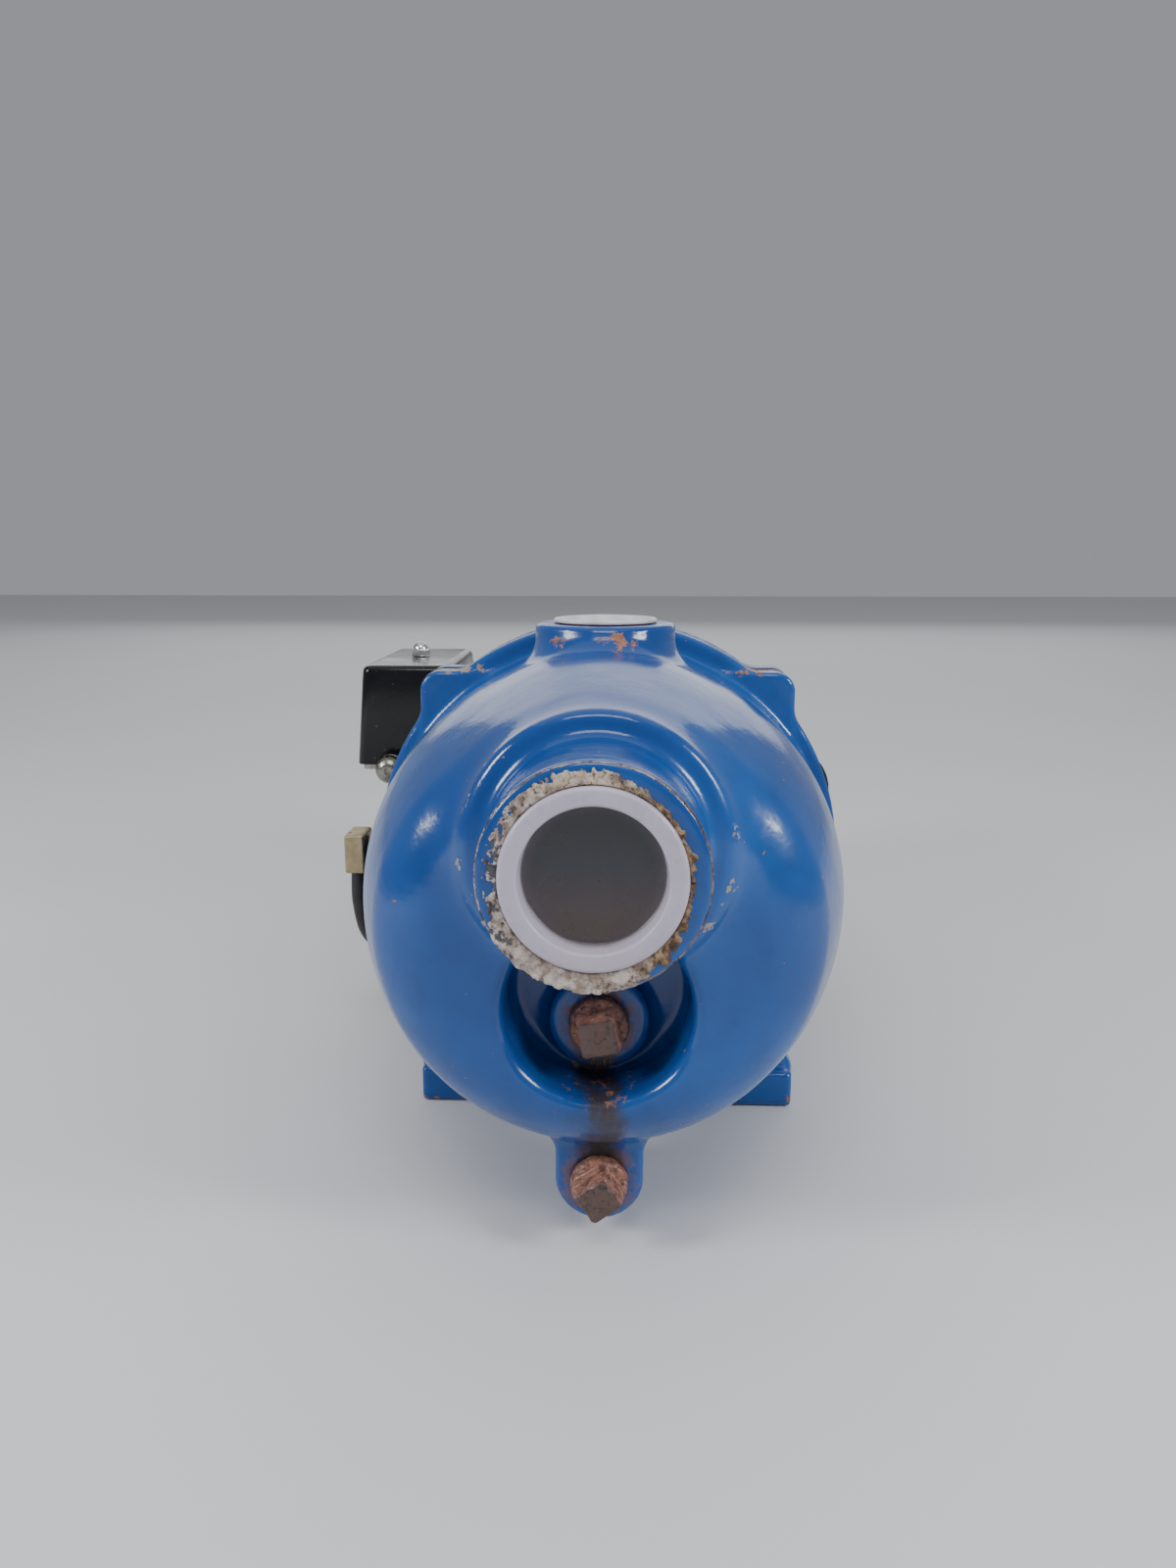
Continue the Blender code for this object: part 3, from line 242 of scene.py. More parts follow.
def casing_field(x, y, z):
    body = np.maximum(dome_field(x, y, z), y + 2)
    stations = [-120.5, -58, -24]
    high = np.interp(y, stations, [136.7, 149.8, 153.5])
    wide = np.interp(y, stations, [37.6, 31.5, 27.0])
    hump = rounded(np.hypot(x, z - high) - wide, -123 - y, 3.0)
    body = soft(body, np.maximum(hump, y + 10), 14.0)
    flange = rounded(rounded(np.hypot(x, z - SHAFT_Z) - FLANGE_RADIUS, -12 - y, 1.8), y, 0.6)
    ears = rounded(ear_plate(x, z), slab(y, -12.8, -0.8), 1.5)
    body = fillet(body, fillet(flange, ears, 2.0), 3.0)
    boss = rounded(np.hypot(x, y - DISCHARGE_Y) - 23.7, z - DISCHARGE_TOP, 1.6)
    body = fillet(body, np.maximum(boss, 148 - z), 7.0)
    web = np.hypot(x, z - np.clip(z, DRAIN_Z, 44)) - 14
    body = fillet(body, np.maximum(rounded(web, DRAIN_FACE - y, 2.0), y + 50), 6.0)
    pocket = rounded(np.hypot(x, z - POCKET_Z) - 28, y + 92, 4.0)
    body = carve(body, pocket, 3.5)
    port = rounded(np.hypot(x, z - PORT_Z) - 30, PORT_FACE - y, 1.5)
    body = fillet(body, np.maximum(port, y + 100), 4.0)
    plug = rounded(np.hypot(x, z - PLUG_Z) - 15.5, PLUG_FACE - y, 2.0)
    body = fillet(body, np.maximum(plug, y + 85), 4.0)
    round_pocket = np.hypot(x, z - POCKET_Z) - 33.5 + np.maximum(y + 85.5, 0)
    cavity = carve(dome_field(x, y, z, 6.5), round_pocket, 2.0)
    sleeve = np.maximum(np.hypot(x, z - PORT_Z) - 25.5, y + 80)
    body = np.maximum(body, -np.maximum(cavity, -sleeve))
    body = carve(body, np.maximum(np.hypot(x, z - PORT_Z) - PORT_BORE, y + 78), 1.0)
    seat = np.maximum(np.hypot(x, z - PORT_Z) - PORT_SEAT, y - PORT_FACE - 0.4)
    body = np.maximum(body, -seat)
    body = carve(body, np.maximum(np.hypot(x, y - DISCHARGE_Y) - 15, 165 - z), 1.0)
    body = carve(body, np.maximum(np.hypot(x, z - PLUG_Z) - PLUG_BORE, y + 82), 0.6)
    return carve(body, np.maximum(np.hypot(x, z - DRAIN_Z) - PLUG_BORE, y + 75), 0.6)


def adapter_field(x, y, z):
    radius = np.hypot(x, z - SHAFT_Z)
    flange = rounded(rounded(radius - FLANGE_RADIUS, 2.1 - y, 0.8), y - 12.1, 1.8)
    ears = rounded(ear_plate(x, z), slab(y, 2.9, 12.9), 1.5)
    body = fillet(flange, ears, 2.0)
    body = np.minimum(body, rounded(radius - 72.8, slab(y, -4, 6), 0.8))
    body = fillet(body, rounded(radius - 69, slab(y, 4, 54), 1.0), 4.0)
    foot = rounded_box(x, y, z, (0, 42, 7), (73, 48, 7), 1.5)
    apron_edge = np.interp(z, [14, 60], [72, 60])
    apron = rounded(np.abs(x) - apron_edge, slab(y, 2.7, 11.5), 1.5)
    body = fillet(body, np.maximum(apron, slab(z, 2, 60)), 3.0)
    web = np.maximum(rounded(np.abs(x) - 26, slab(y, 6, 50), 2.0), slab(z, 4, 50))
    ribs = np.maximum(rounded(np.abs(np.abs(x) - 41) - 4, slab(y, 6, 82), 1.5), slab(z, 4, 30))
    foot = fillet(foot, ribs, 4.0)
    body = fillet(fillet(body, web, 4.0), foot, 5.0)
    spot = np.hypot(y - ELBOW[1], z - ELBOW[2])
    body = fillet(body, rounded(spot - 9.5, slab(x, -76, -55), 1.2), 3.0)
    lantern = rounded(radius - 55, 16 - y, 8.0)
    body = carve(body, lantern, 1.0)
    body = carve(body, np.maximum(radius - 16.8, y - 8), 0.6)
    body = carve(body, np.maximum(radius - 9.4, slab(y, 6, 20)), 0.5)
    side = rounded_box(x, y, z, (60, 35, 106), (32, 11, 18), 4.0)
    top = rounded_box(x, y, z, (0, 35, 165), (20, 11, 26), 4.0)
    body = carve(carve(body, side, 1.5), top, 1.5)
    body = carve(body, np.maximum(spot - 5.5, slab(x, -80, -62)), 0.5)
    for row in (74.0, 35.6):
        hole = np.hypot(np.abs(x) - 61, y - row) - 5.5
        body = carve(body, np.maximum(hole, slab(z, -3, 17)), 0.8)
    return body


def nets(field, low, high, cell, rounds=3):
    """A closed mesh of the field's zero surface: one point in each crossed cell, pulled onto the surface."""
    axes = [np.arange(a - cell, b + 2 * cell, cell) for a, b in zip(low, high)]
    inside = field(axes[0][:, None, None], axes[1][None, :, None], axes[2][None, None, :]) < 0
    size = inside.shape
    corners = [
        inside[a : size[0] - 1 + a, b : size[1] - 1 + b, c : size[2] - 1 + c]
        for a, b, c in product((0, 1), repeat=3)
    ]
    active = np.logical_or.reduce(corners) & ~np.logical_and.reduce(corners)
    index = np.full(active.shape, -1)
    index[active] = np.arange(active.sum())
    points = np.array([a[0] for a in axes]) + cell * (np.argwhere(active) + 0.5)
    faces = []
    for axis in range(3):
        second, third = (axis + 1) % 3, (axis + 2) % 3
        here = np.take(inside, range(size[axis] - 1), axis)
        there = np.take(inside, range(1, size[axis]), axis)
        edges = np.argwhere(here != there)
        keep = (edges[:, second] > 0) & (edges[:, third] > 0)
        edges = edges[keep]
        leaving = here[tuple(edges.T)]
        ring = []
        for b, c in ((1, 1), (0, 1), (0, 0), (1, 0)):
            cells = edges.copy()
            cells[:, second] -= b
            cells[:, third] -= c
            ring.append(index[tuple(cells.T)])
        ring = np.stack(ring, 1)
        ring[~leaving] = ring[~leaving][:, ::-1]
        faces.append(ring)
    faces = np.concatenate(faces)

    def pull(p):
        step = 0.05 * cell
        value = field(*p.T)
        slope = np.empty_like(p)
        for k in range(3):
            offset = np.zeros(3)
            offset[k] = step
            slope[:, k] = (field(*(p + offset).T) - field(*(p - offset).T)) / (2 * step)
        scale = np.maximum((slope**2).sum(1), 0.2)
        move = -slope * (value / scale)[:, None]
        length = np.linalg.norm(move, axis=1)
        return p + move * np.minimum(1, 0.6 * cell / np.maximum(length, 1e-9))[:, None]

    for _ in range(3):
        points = pull(points)
    for _ in range(rounds):
        total = np.zeros_like(points)
        count = np.zeros(len(points))
        for k in range(4):
            a, b = faces[:, k], faces[:, (k + 1) % 4]
            np.add.at(total, a, points[b])
            np.add.at(total, b, points[a])
            np.add.at(count, a, 1)
            np.add.at(count, b, 1)
        points = 0.4 * points + 0.6 * total / count[:, None]
        for _ in range(2):
            points = pull(points)
    return points, faces


def lumps(x, y, z, scale, seed):
    """Smooth repeatable roughness from summed sines, about -1 to 1."""
    total = 0.0
    for i in range(7):
        a, b, c = (math.sin(seed + 2.1 * i + k * 1.7) for k in range(3))
        total = total + np.sin((a * x + b * y + c * z) * scale * (1 + 0.55 * i) + seed * i) / (1 + 0.35 * i)
    return total / 3.0


# Shapes


def make_castings():
    points, faces = nets(casing_field, (-86, -157, 4), (86, 1, 192.5), 1.35)
    piece("casing_casting", points, faces, ["pump_casing"], "blue_paint", sharp=None)
    points, faces = nets(adapter_field, (-86, -5, -1), (86, 91, 191), 1.7)
    points[:, 2] = np.maximum(points[:, 2], 0)
    piece("adapter_casting", points, faces, ["motor_adapter"], "blue_paint", sharp=None)


def deposit_edge(angle):
    """How far out and how thick the scale on the port's face is, at an angle from +X in degrees."""
    around = [-45, -15, 0, 30, 60, 95, 130, 155, 180, 205, 230, 270, 295, 315, 345]
    reach = [27.0, 25.4, 25.0, 25.2, 26.2, 27.6, 28.0, 28.4, 28.4, 28.6, 30.0, 30.2, 29.0, 27.4, 25.5]
    thick = [0.8, 0.5, 0.4, 0.45, 0.6, 0.8, 0.7, 0.4, 0.35, 0.7, 1.15, 1.1, 0.9, 0.8, 0.5]
    return np.interp(angle, around, reach), np.interp(angle, around, thick)


def make_deposit():
    """Limescale and old sealant round the cap, broken up on the left."""
    rings, around = 34, 560
    inner, outer = 20.7, 29.9
    points, faces = [], []
    for i in range(rings):
        for j in range(around):
            angle = 2 * math.pi * j / around
            radius = inner + (outer - inner) * i / (rings - 1)
            x, z = radius * math.cos(angle), radius * math.sin(angle)
            reach, thick = deposit_edge(math.degrees(angle))
            wide = noise.noise(Vector((x * 0.18, z * 0.18, 3.1)))
            fine = noise.fractal(Vector((x * 0.5, z * 0.5, 8.3)), 0.9, 2.1, 5)
            grain = noise.noise(Vector((x * 2.2, z * 2.2, 1.7)))
            broken = np.interp(math.degrees(angle), [120, 150, 195, 215], [0, 1, 1, 0])
            edge = reach + 1.4 * wide + 1.5 * fine - radius
            height = thick * (1 - math.exp(-max(edge, 0) * 1.4)) + 0.30 * fine + 0.12 * grain
            height -= broken * max(0, 0.25 + 1.8 * fine + 0.5 * wide) * max(0.0, min(1.0, (radius - 24.2) / 1.0))
            if edge < 0:
                height = min(height, edge * 0.8)
            if radius < CAP_FLANGE + 0.1:
                height = min(height, 0.2)  # thin enough to lie behind the cap's flange
            points.append((x, PORT_FACE - max(-0.5, min(height, 1.5)), PORT_Z + z))
    top = len(points)
    for radius in (inner + 0.2, outer - 0.3):
        for j in range(around):
            angle = 2 * math.pi * j / around
            points.append((radius * math.cos(angle), PORT_FACE + 0.9, PORT_Z + radius * math.sin(angle)))
    loops = [range(i * around, (i + 1) * around) for i in range(rings)]
    loops = [range(top, top + around)] + loops + [range(top + around, top + 2 * around)]
    loops.append(loops[0])
    for first, second in zip(loops, loops[1:]):
        for j in range(around):
            k = (j + 1) % around
            faces.append((first[j], first[k], second[k], second[j]))
    piece("port_deposit", points, faces, [], None, sharp=None)


def make_caps():
    y, shank = PORT_FACE, PORT_BORE - 0.5
    profile = [
        (0, y + 4.4), (18.4, y + 4.4), (19.0, y - 2.2), (23.2, y - 2.2), (CAP_FLANGE, y - 1.5), (CAP_FLANGE, y - GAP),
        (shank, y - GAP), (shank - 0.5, y + 14), (shank - 2.2, y + 14), (shank - 2.2, y + 7.0), (0, y + 7.0),
    ]
    shape = lathe(profile, 0.7, 128, "Y", (0, 0, PORT_Z))
    piece("suction_cap_fine", *shape, ["suction_cap"], "cap_plastic", "suction_cap")
    z, shank = DISCHARGE_TOP, 14.6
    profile = [
        (0, z - 0.2), (15.6, z - 0.2), (16.2, z + 1.5), (17.2, z + 1.5), (17.5, z + 1.1), (17.5, z + GAP),
        (shank, z + GAP), (shank - 0.4, z - 11), (shank - 2.0, z - 11), (shank - 2.0, z - 1.8), (0, z - 1.8),
    ]
    shape = lathe(profile, 0.4, 96, "Z", (0, DISCHARGE_Y, 0))
    piece("discharge_cap_fine", *shape, ["discharge_cap"], "white_plastic", "discharge_cap")


def plug_field(x, y, z, seed, turn):
    """A square-headed plug along -Y from its boss at y = 0, rough with rust."""
    wear = 0.28 * lumps(x, y, z, 0.55, seed) + 0.12 * lumps(x, y, z, 1.5, seed + 4)
    a = x * math.cos(turn) + z * math.sin(turn)
    b = z * math.cos(turn) - x * math.sin(turn)
    half = 6.3 * (1 - 0.016 * np.maximum(-4.5 - y, 0))
    square = rounded(rounded(np.abs(a) - half, np.abs(b) - half, 1.5), -13.2 - y, 0.9)
    square = np.maximum(square, y + 3)
    collar = rounded(rounded(np.hypot(x, z) - 9.1, -4.4 - y, 1.5), y + 0.4, 0.4)
    head = fillet(collar, square, 0.7) + wear
    return np.minimum(head, rounded(np.hypot(x, z) - 7.0, slab(y, -2, 12), 0.6))


def make_plugs():
    for name, face, z, seed, turn in (
        ("upper_plug", PLUG_FACE, PLUG_Z, 1.3, 0.2), ("drain_plug", DRAIN_FACE, DRAIN_Z, 5.9, 0.62)
    ):
        shape = nets(lambda a, b, c: plug_field(a, b, c, seed, turn), (-11, -15, -11), (11, 13, 11), 0.4, 1)
        points = shape[0] + np.array((0, face, z))
        points[:, 1] = np.maximum(points[:, 1], face - 13.4)
        piece(f"{name}_fine", points, shape[1], [name], "rusty_iron", name, sharp=None)


def hexagon_field(x, y, z, across, low, high, chamfer):
    """A hexagon along +Z from low to high, with its top corners turned off."""
    sides = [np.abs(x * math.cos(k * math.pi / 3) + y * math.sin(k * math.pi / 3)) - across / 2 for k in range(3)]
    prism = np.maximum(np.maximum(sides[0], sides[1]), sides[2])
    prism = rounded(prism, slab(z, low, high), 0.25)
    cone = (np.hypot(x, y) + (z - high) * 1.7 - across / 2 - chamfer * 0.2) / 2.0
    return np.maximum(prism, cone)


def make_bolts():
    """Flange bolts and the motor's through bolts, with chamfered heads."""
    head = nets(
        lambda x, y, z: np.minimum(
            hexagon_field(x, y, z, 14.8, 1.5, 7.9, 1.0),
            rounded(np.hypot(x, y) - 8.0, slab(z, 0.0, 1.6), 0.3),
        ),
        (-9, -9, -1), (9, 9, 9), 0.45, 1,
    )
    places = [(x, SHAFT_Z + z) for z in (EAR_BOLT, -EAR_BOLT) for x in (-EAR_BOLT, EAR_BOLT)]
    for number, (x, z) in enumerate(places, 1):
        points = head[0][:, [0, 2, 1]] * (1, 1, -1) + np.array((x, 13.2, z))
        shank = lathe([(0, -9), (4.55, -9), (4.55, 13.6), (0, 13.6)], 0.6, 24, "Y", (x, 0, z))
        shape = merged((points, head[1]), shank)
        piece(f"flange_bolt_fine_{number}", *shape, [f"flange_bolt_{number}"], "zinc_steel")
    small = nets(lambda x, y, z: hexagon_field(x, y, z, 7.9, 0, 3.9, 0.5), (-5, -5, -1), (5, 5, 5), 0.3, 1)
    offset = TIE_RADIUS / math.sqrt(2)
    places = [(x, SHAFT_Z + z) for z in (offset, -offset) for x in (-offset, offset)]
    for number, (x, z) in enumerate(places, 1):
        points = small[0][:, [0, 2, 1]] * (1, 1, -1) + np.array((x, 224.3, z))
        shank = lathe([(0, 42), (2.4, 42), (2.4, 224.8), (0, 224.8)], 0.3, 20, "Y", (x, 0, z))
        shape = merged((points, small[1]), shank)
        piece(f"through_bolt_fine_{number}", *shape, [f"through_bolt_{number}"], "zinc_steel")


def arc(centre, radius, start, end, steps):
    points = []
    for i in range(steps + 1):
        angle = math.radians(start + (end - start) * i / steps)
        points.append((centre[0] + radius * math.cos(angle), centre[1] + radius * math.sin(angle)))
    return points


def rounded_loop(low, high, radius, steps=8):
    corners = [
        ((high[0] - radius, low[1] + radius), -90), ((high[0] - radius, high[1] - radius), 0),
        ((low[0] + radius, high[1] - radius), 90), ((low[0] + radius, low[1] + radius), 180),
    ]
    points = []
    for centre, start in corners:
        points += arc(centre, radius, start, start + 90, steps)
    return points


def loft(rings, capped=True):
    """Points and faces through rings of equally many points, closed at both ends if capped."""
    count = len(rings[0])
    points = [p for ring in rings for p in ring]
    faces = []
    for i in range(len(rings) - 1):
        for j in range(count):
            k = (j + 1) % count
            faces.append((i * count + j, i * count + k, (i + 1) * count + k, (i + 1) * count + j))
    if capped:
        faces.append(tuple(range(count))[::-1])
        faces.append(tuple(range((len(rings) - 1) * count, len(rings) * count)))
    return points, faces


def make_motor():
    inner = MOTOR_RADIUS - 2.5
    shell = [(inner, 82.3), (MOTOR_RADIUS, 82.3), (MOTOR_RADIUS, 88), (MOTOR_RADIUS - 0.5, 88.6)]
    shell += [(MOTOR_RADIUS - 0.5, 193.4), (MOTOR_RADIUS, 194), (MOTOR_RADIUS, 200), (inner, 200)]
    piece("motor_shell_fine", *lathe(shell, 0.5, 128), ["motor_shell"], "black_paint")
    front = [(12, 54.3), (MOTOR_RADIUS, 54.3), (MOTOR_RADIUS, 82.0), (inner, 82.0), (inner, 60.3), (29, 60.3)]
    front += [(29, 76), (23.8, 76), (23.8, 59), (12, 59)]
    piece("front_bell_fine", *lathe(front, 1.0, 128), ["front_end_bell"], "bell_aluminium")
    rear = [(12, 224), (63, 224), (MOTOR_RADIUS, 221), (MOTOR_RADIUS, 200.3), (inner, 200.3), (inner, 218)]
    rear += [(29, 218), (29, 204), (23.8, 204), (23.8, 220), (12, 220)]
    piece("rear_bell_fine", *lathe(rear, 1.0, 128), ["rear_end_bell"], "bell_aluminium")
    inner, outer = MOTOR_RADIUS + 0.4, MOTOR_RADIUS + 1.8
    centre = (outer - 9, 243)
    profile = [(inner, 206), (outer, 206)] + arc(centre, 9, 0, 90, 10)
    profile += [(0, 252), (0, 250.5)] + arc(centre, 7.5, 90, 0, 10)
    cover = piece("fan_cover_fine", *lathe(profile, 0.05, 128, closed=True), ["fan_cover"], "black_paint")
    shapes = []
    for row in range(-4, 5):
        height = abs(row * SLOT_PITCH)
        far, near = math.sqrt(52**2 - height**2), math.sqrt(max(13**2 - height**2, 9.0))
        z = SHAFT_Z + row * SLOT_PITCH
        for low, high in ((-far, -near), (near, far)):
            outline = rounded_loop((low, z - 2.5), (high, z + 2.5), 2.45, 6)
            shapes.append(loft([[(a, 247, b) for a, b in outline], [(a, 257, b) for a, b in outline]]))
    for angle in SCREW_ANGLES:
        turned = lathe([(0, 60), (2.3, 60), (2.3, 72), (0, 72)], 0.1, 20, "X", (0, SCREW_Y, 0))
        shapes.append(spun(turned, angle))
    holder = bpy.data.objects.new("slots", facing_out("slots", *merged(*shapes)))
    bpy.context.scene.collection.objects.link(holder)
    modifier = cover.modifiers.new("slots", "BOOLEAN")
    modifier.operation, modifier.solver, modifier.object = "DIFFERENCE", "MANIFOLD", holder
    graph = bpy.context.evaluated_depsgraph_get()
    done = bpy.data.meshes.new_from_object(cover.evaluated_get(graph))
    cover.modifiers.clear()
    cover.data = done
    bpy.data.objects.remove(holder)
    done.shade_smooth()
    done.set_sharp_from_angle(angle=math.radians(35))
    for number, angle in enumerate(SCREW_ANGLES, 1):
        head = [(0, 60), (1.8, 60), (1.8, outer + 0.3), (3.8, outer + 0.3), (3.7, outer + 1.2), (2.4, outer + 2.2)]
        head += [(1.1, outer + 2.2), (0.9, outer + 1.3), (0, outer + 1.3)]
        shape = spun(lathe(head, 0.25, 32, "X", (0, SCREW_Y, 0)), angle)
        piece(f"cover_screw_fine_{number}", *shape, [f"fan_cover_screw_{number}"], "zinc_steel")


def spun(shape, angle):
    """A shape made along +X from the shaft's axis, turned up by an angle and lifted to the shaft."""
    points = np.asarray(shape[0], float)
    cos, sin = math.cos(math.radians(angle)), math.sin(math.radians(angle))
    x = points[:, 0] * cos - points[:, 2] * sin
    z = points[:, 0] * sin + points[:, 2] * cos
    return np.stack([x, points[:, 1], z + SHAFT_Z], 1), shape[1]


def make_capacitor_cover():
    front, back = 104.0, 184.0
    bend, half = 17.0, 18.0

    def outline(inset):
        rise = half - inset
        bulge = arc((MOTOR_RADIUS + half, 0), bend, -90, 90, 24)
        reach = math.sqrt(max((MOTOR_RADIUS + GAP) ** 2 - rise**2, 0))
        return [(a, SHAFT_Z + b * rise / bend) for a, b in bulge] + [(reach, SHAFT_Z + rise), (reach, SHAFT_Z - rise)]

    ends = (front, 2.0), (front + 0.6, 0.8), (front + 2, 0.0), (back - 2, 0.0), (back - 0.6, 0.8), (back, 2.0)
    rings = []
    for along, inset in ends:
        rings.append([(a, along, b) for a, b in outline(inset)])
    piece("capacitor_cover_fine", *loft(rings), ["capacitor_cover"], "black_paint", sharp=40)


def cover_ring(half, inset, radius, z):
    reach = SWITCH_HALF_LENGTH - inset
    low, high = (SWITCH[0] - half, SWITCH[1] - reach), (SWITCH[0] + half, SWITCH[1] + reach)
    return [(a, b, z) for a, b in rounded_loop(low, high, radius, 8)]


def make_switch():
    floor, top, wall = SWITCH_FLOOR, SWITCH_TOP, 1.6
    outer = [cover_ring(23.8, 0.3, 3.6, floor), cover_ring(24, 0.0, 4.0, floor + 0.6)]
    outer += [cover_ring(20.9, 1.2, 4.0, top - 6)]
    for i in range(7):
        angle = math.radians(15 * i)
        inset = 3.2 * (1 - math.cos(angle))
        outer.append(cover_ring(20.6 - inset, 1.4 + inset, 4.0 - inset * 0.5, top - 3.2 + 3.2 * math.sin(angle)))
    inner = [cover_ring(20.6 - wall - 2.6, 1.4 + wall + 2.6, 2.4, top - wall)]
    inner += [cover_ring(20.6 - wall, 1.4 + wall, 2.6, top - 4.4)]
    inner += [cover_ring(23.8 - wall, 0.3 + wall, 2.6, floor)]
    rings = outer + inner
    points, faces = loft(rings, capped=False)
    count = len(rings[0])
    last = len(rings) - 1
    for j in range(count):
        k = (j + 1) % count
        faces.append((last * count + j, last * count + k, k, j))
    edge = len(outer) - 1
    faces = [f for f in faces if not (min(f) // count == edge and max(f) // count == edge + 1)]
    faces.append(tuple(range(edge * count, (edge + 1) * count)))
    faces.append(tuple(range((edge + 1) * count, (edge + 2) * count))[::-1])
    piece("switch_cover_fine", points, faces, ["switch_cover"], "black_paint", "switch_cover", sharp=30)
    hexagon = nets(
        lambda x, y, z: np.minimum(
            hexagon_field(x, y, z, 8.5, 0, 3.7, 0.4),
            np.maximum(np.sqrt(x * x + y * y + (z - 3.4) ** 2) - 4.0, 0.5 - z),
        ),
        (-5.2, -5.2, -0.5), (5.2, 5.2, 8), 0.22, 1,
    )
    points = hexagon[0] + np.array((SWITCH[0], SWITCH[1], top + GAP))
    piece("acorn_nut_fine", points, hexagon[1], ["switch_cover_nut"], "nickel", "switch_cover", sharp=40)
    front = SWITCH[1] - SWITCH_HALF_LENGTH
    gland_at = (SWITCH[0] - 7.5, 0, 111.2)
    gland = [(0, front - 8.6), (2.0, front - 9), (3.4, front - 8.8), (5.4, front - 7.6), (6.5, front - 5.8)]
    gland += [(6.9, front - 4.2), (6.9, front - 2.6), (6.3, front - 2.3), (6.3, front - 1.7), (6.9, front - 1.4)]
    gland += [(6.9, front - 0.3), (0, front - 0.3)]
    piece("gland_fine", *lathe(gland, 0.5, 64, "Y", gland_at), ["conduit_gland"], "nickel", sharp=40)
    cup = [(0, 0), (5.8, 0), (5.8, -1), (15, -1), (16.5, -2.5), (16.5, -4.5), (15.8, -5), (15.8, -6)]
    cup += [(16.5, -6.5), (16.5, -9), (15, -11), (10.5, -19), (9, -24), (0, -24)]
    cup = [(radius, CUP_TOP + z) for radius, z in cup]
    at = (SWITCH[0], SWITCH[1], 0)
    piece("diaphragm_fine", *lathe(cup, 0.8, 96, "Z", at), ["diaphragm_housing"], "zinc_steel")
    port = CUP_BOTTOM
    fitting = [(2.0, port - 8), (5.1, port - 8), (5.4, port - 7), (5.4, port - GAP), (2.0, port - GAP)]
    piece("fitting_fine", *lathe(fitting, 0.4, 48, "Z", at, True), ["switch_fitting"], "brass")


def elbow_field(x, y, z):
    wear = 0.06 * lumps(x, y, z, 0.9, 2.2)
    body = rounded_box(x, y, z, (0, 0, 0), (4.05, 8.4, 8.1), 0.9) + wear
    return carve(body, np.maximum(np.hypot(x, y) - 2.2, z), 0.3)


def make_line():
    shape = nets(elbow_field, (-5, -9, -9), (5, 9, 9), 0.4, 1)
    piece("elbow_fine", shape[0] + np.array(ELBOW), shape[1], ["tube_elbow"], "brass", sharp=None)
    edge = ELBOW[0] + 4.15
    nipple = [(2.0, edge + 0.3), (6.4, edge + 0.3), (6.4, -96.5), (5.6, -96), (5.6, -94.6), (6.4, -94.2)]
    nipple += [(6.4, -89), (5.1, -89), (5.1, -63), (2.0, -63)]
    shape = lathe(nipple, 0.4, 48, "X", (0, ELBOW[1], ELBOW[2]), True)
    piece("nipple_fine", *shape, ["elbow_nipple"], "black_paint")


def smooth_point(before, first, second, after, t):
    """A point on the smooth curve through four knots, between the middle two."""
    linear = (second - before) * t
    square = (2 * before - 5 * first + 4 * second - after) * t**2
    cube = (3 * first - before - 3 * second + after) * t**3
    return 0.5 * (2 * first + linear + square + cube)


def make_tube():
    """The sensing tube, on the same smooth line as its solid."""
    start = Vector((ELBOW[0], ELBOW[1], ELBOW[2] - 8.2 - 0.9))
    end = Vector((SWITCH[0], SWITCH[1], CUP_BOTTOM - 8 - 1.2))
    knots = [start, start + Vector((0, 0, -14)), Vector((-104.5, 50, 50)), Vector((-102, 84, 33))]
    knots += [Vector((-99.5, 124, 33)), end + Vector((0, 0, -13)), end]
    knots = [knots[0] * 2 - knots[1]] + knots + [knots[-1] * 2 - knots[-2]]
    route = []
    for i in range(1, len(knots) - 2):
        for step in range(10):
            route.append(smooth_point(*knots[i - 1 : i + 3], step / 10))
    route.append(end)
    rings, side = [], Vector((1, 0, 0))
    for i, point in enumerate(route):
        along = (route[min(i + 1, len(route) - 1)] - route[max(i - 1, 0)]).normalized()
        side = (side - along * side.dot(along)).normalized()
        other = along.cross(side)
        outline = arc((0, 0), 1.0, 0, 345, 23)
        rings.append([tuple(point + (side * a + other * b) * TUBE_RADIUS) for a, b in outline])
    tube = piece("sensing_tube_fine", *loft(rings), ["sensing_tube"], "rubber", sharp=40)


# Materials


def rgb(red, green, blue):
    """A colour given as it looks on a screen, 0 to 255, in the shader's own measure."""
    return (*(((c / 255 + 0.055) / 1.055) ** 2.4 if c > 10 else c / 255 / 12.92 for c in (red, green, blue)), 1.0)


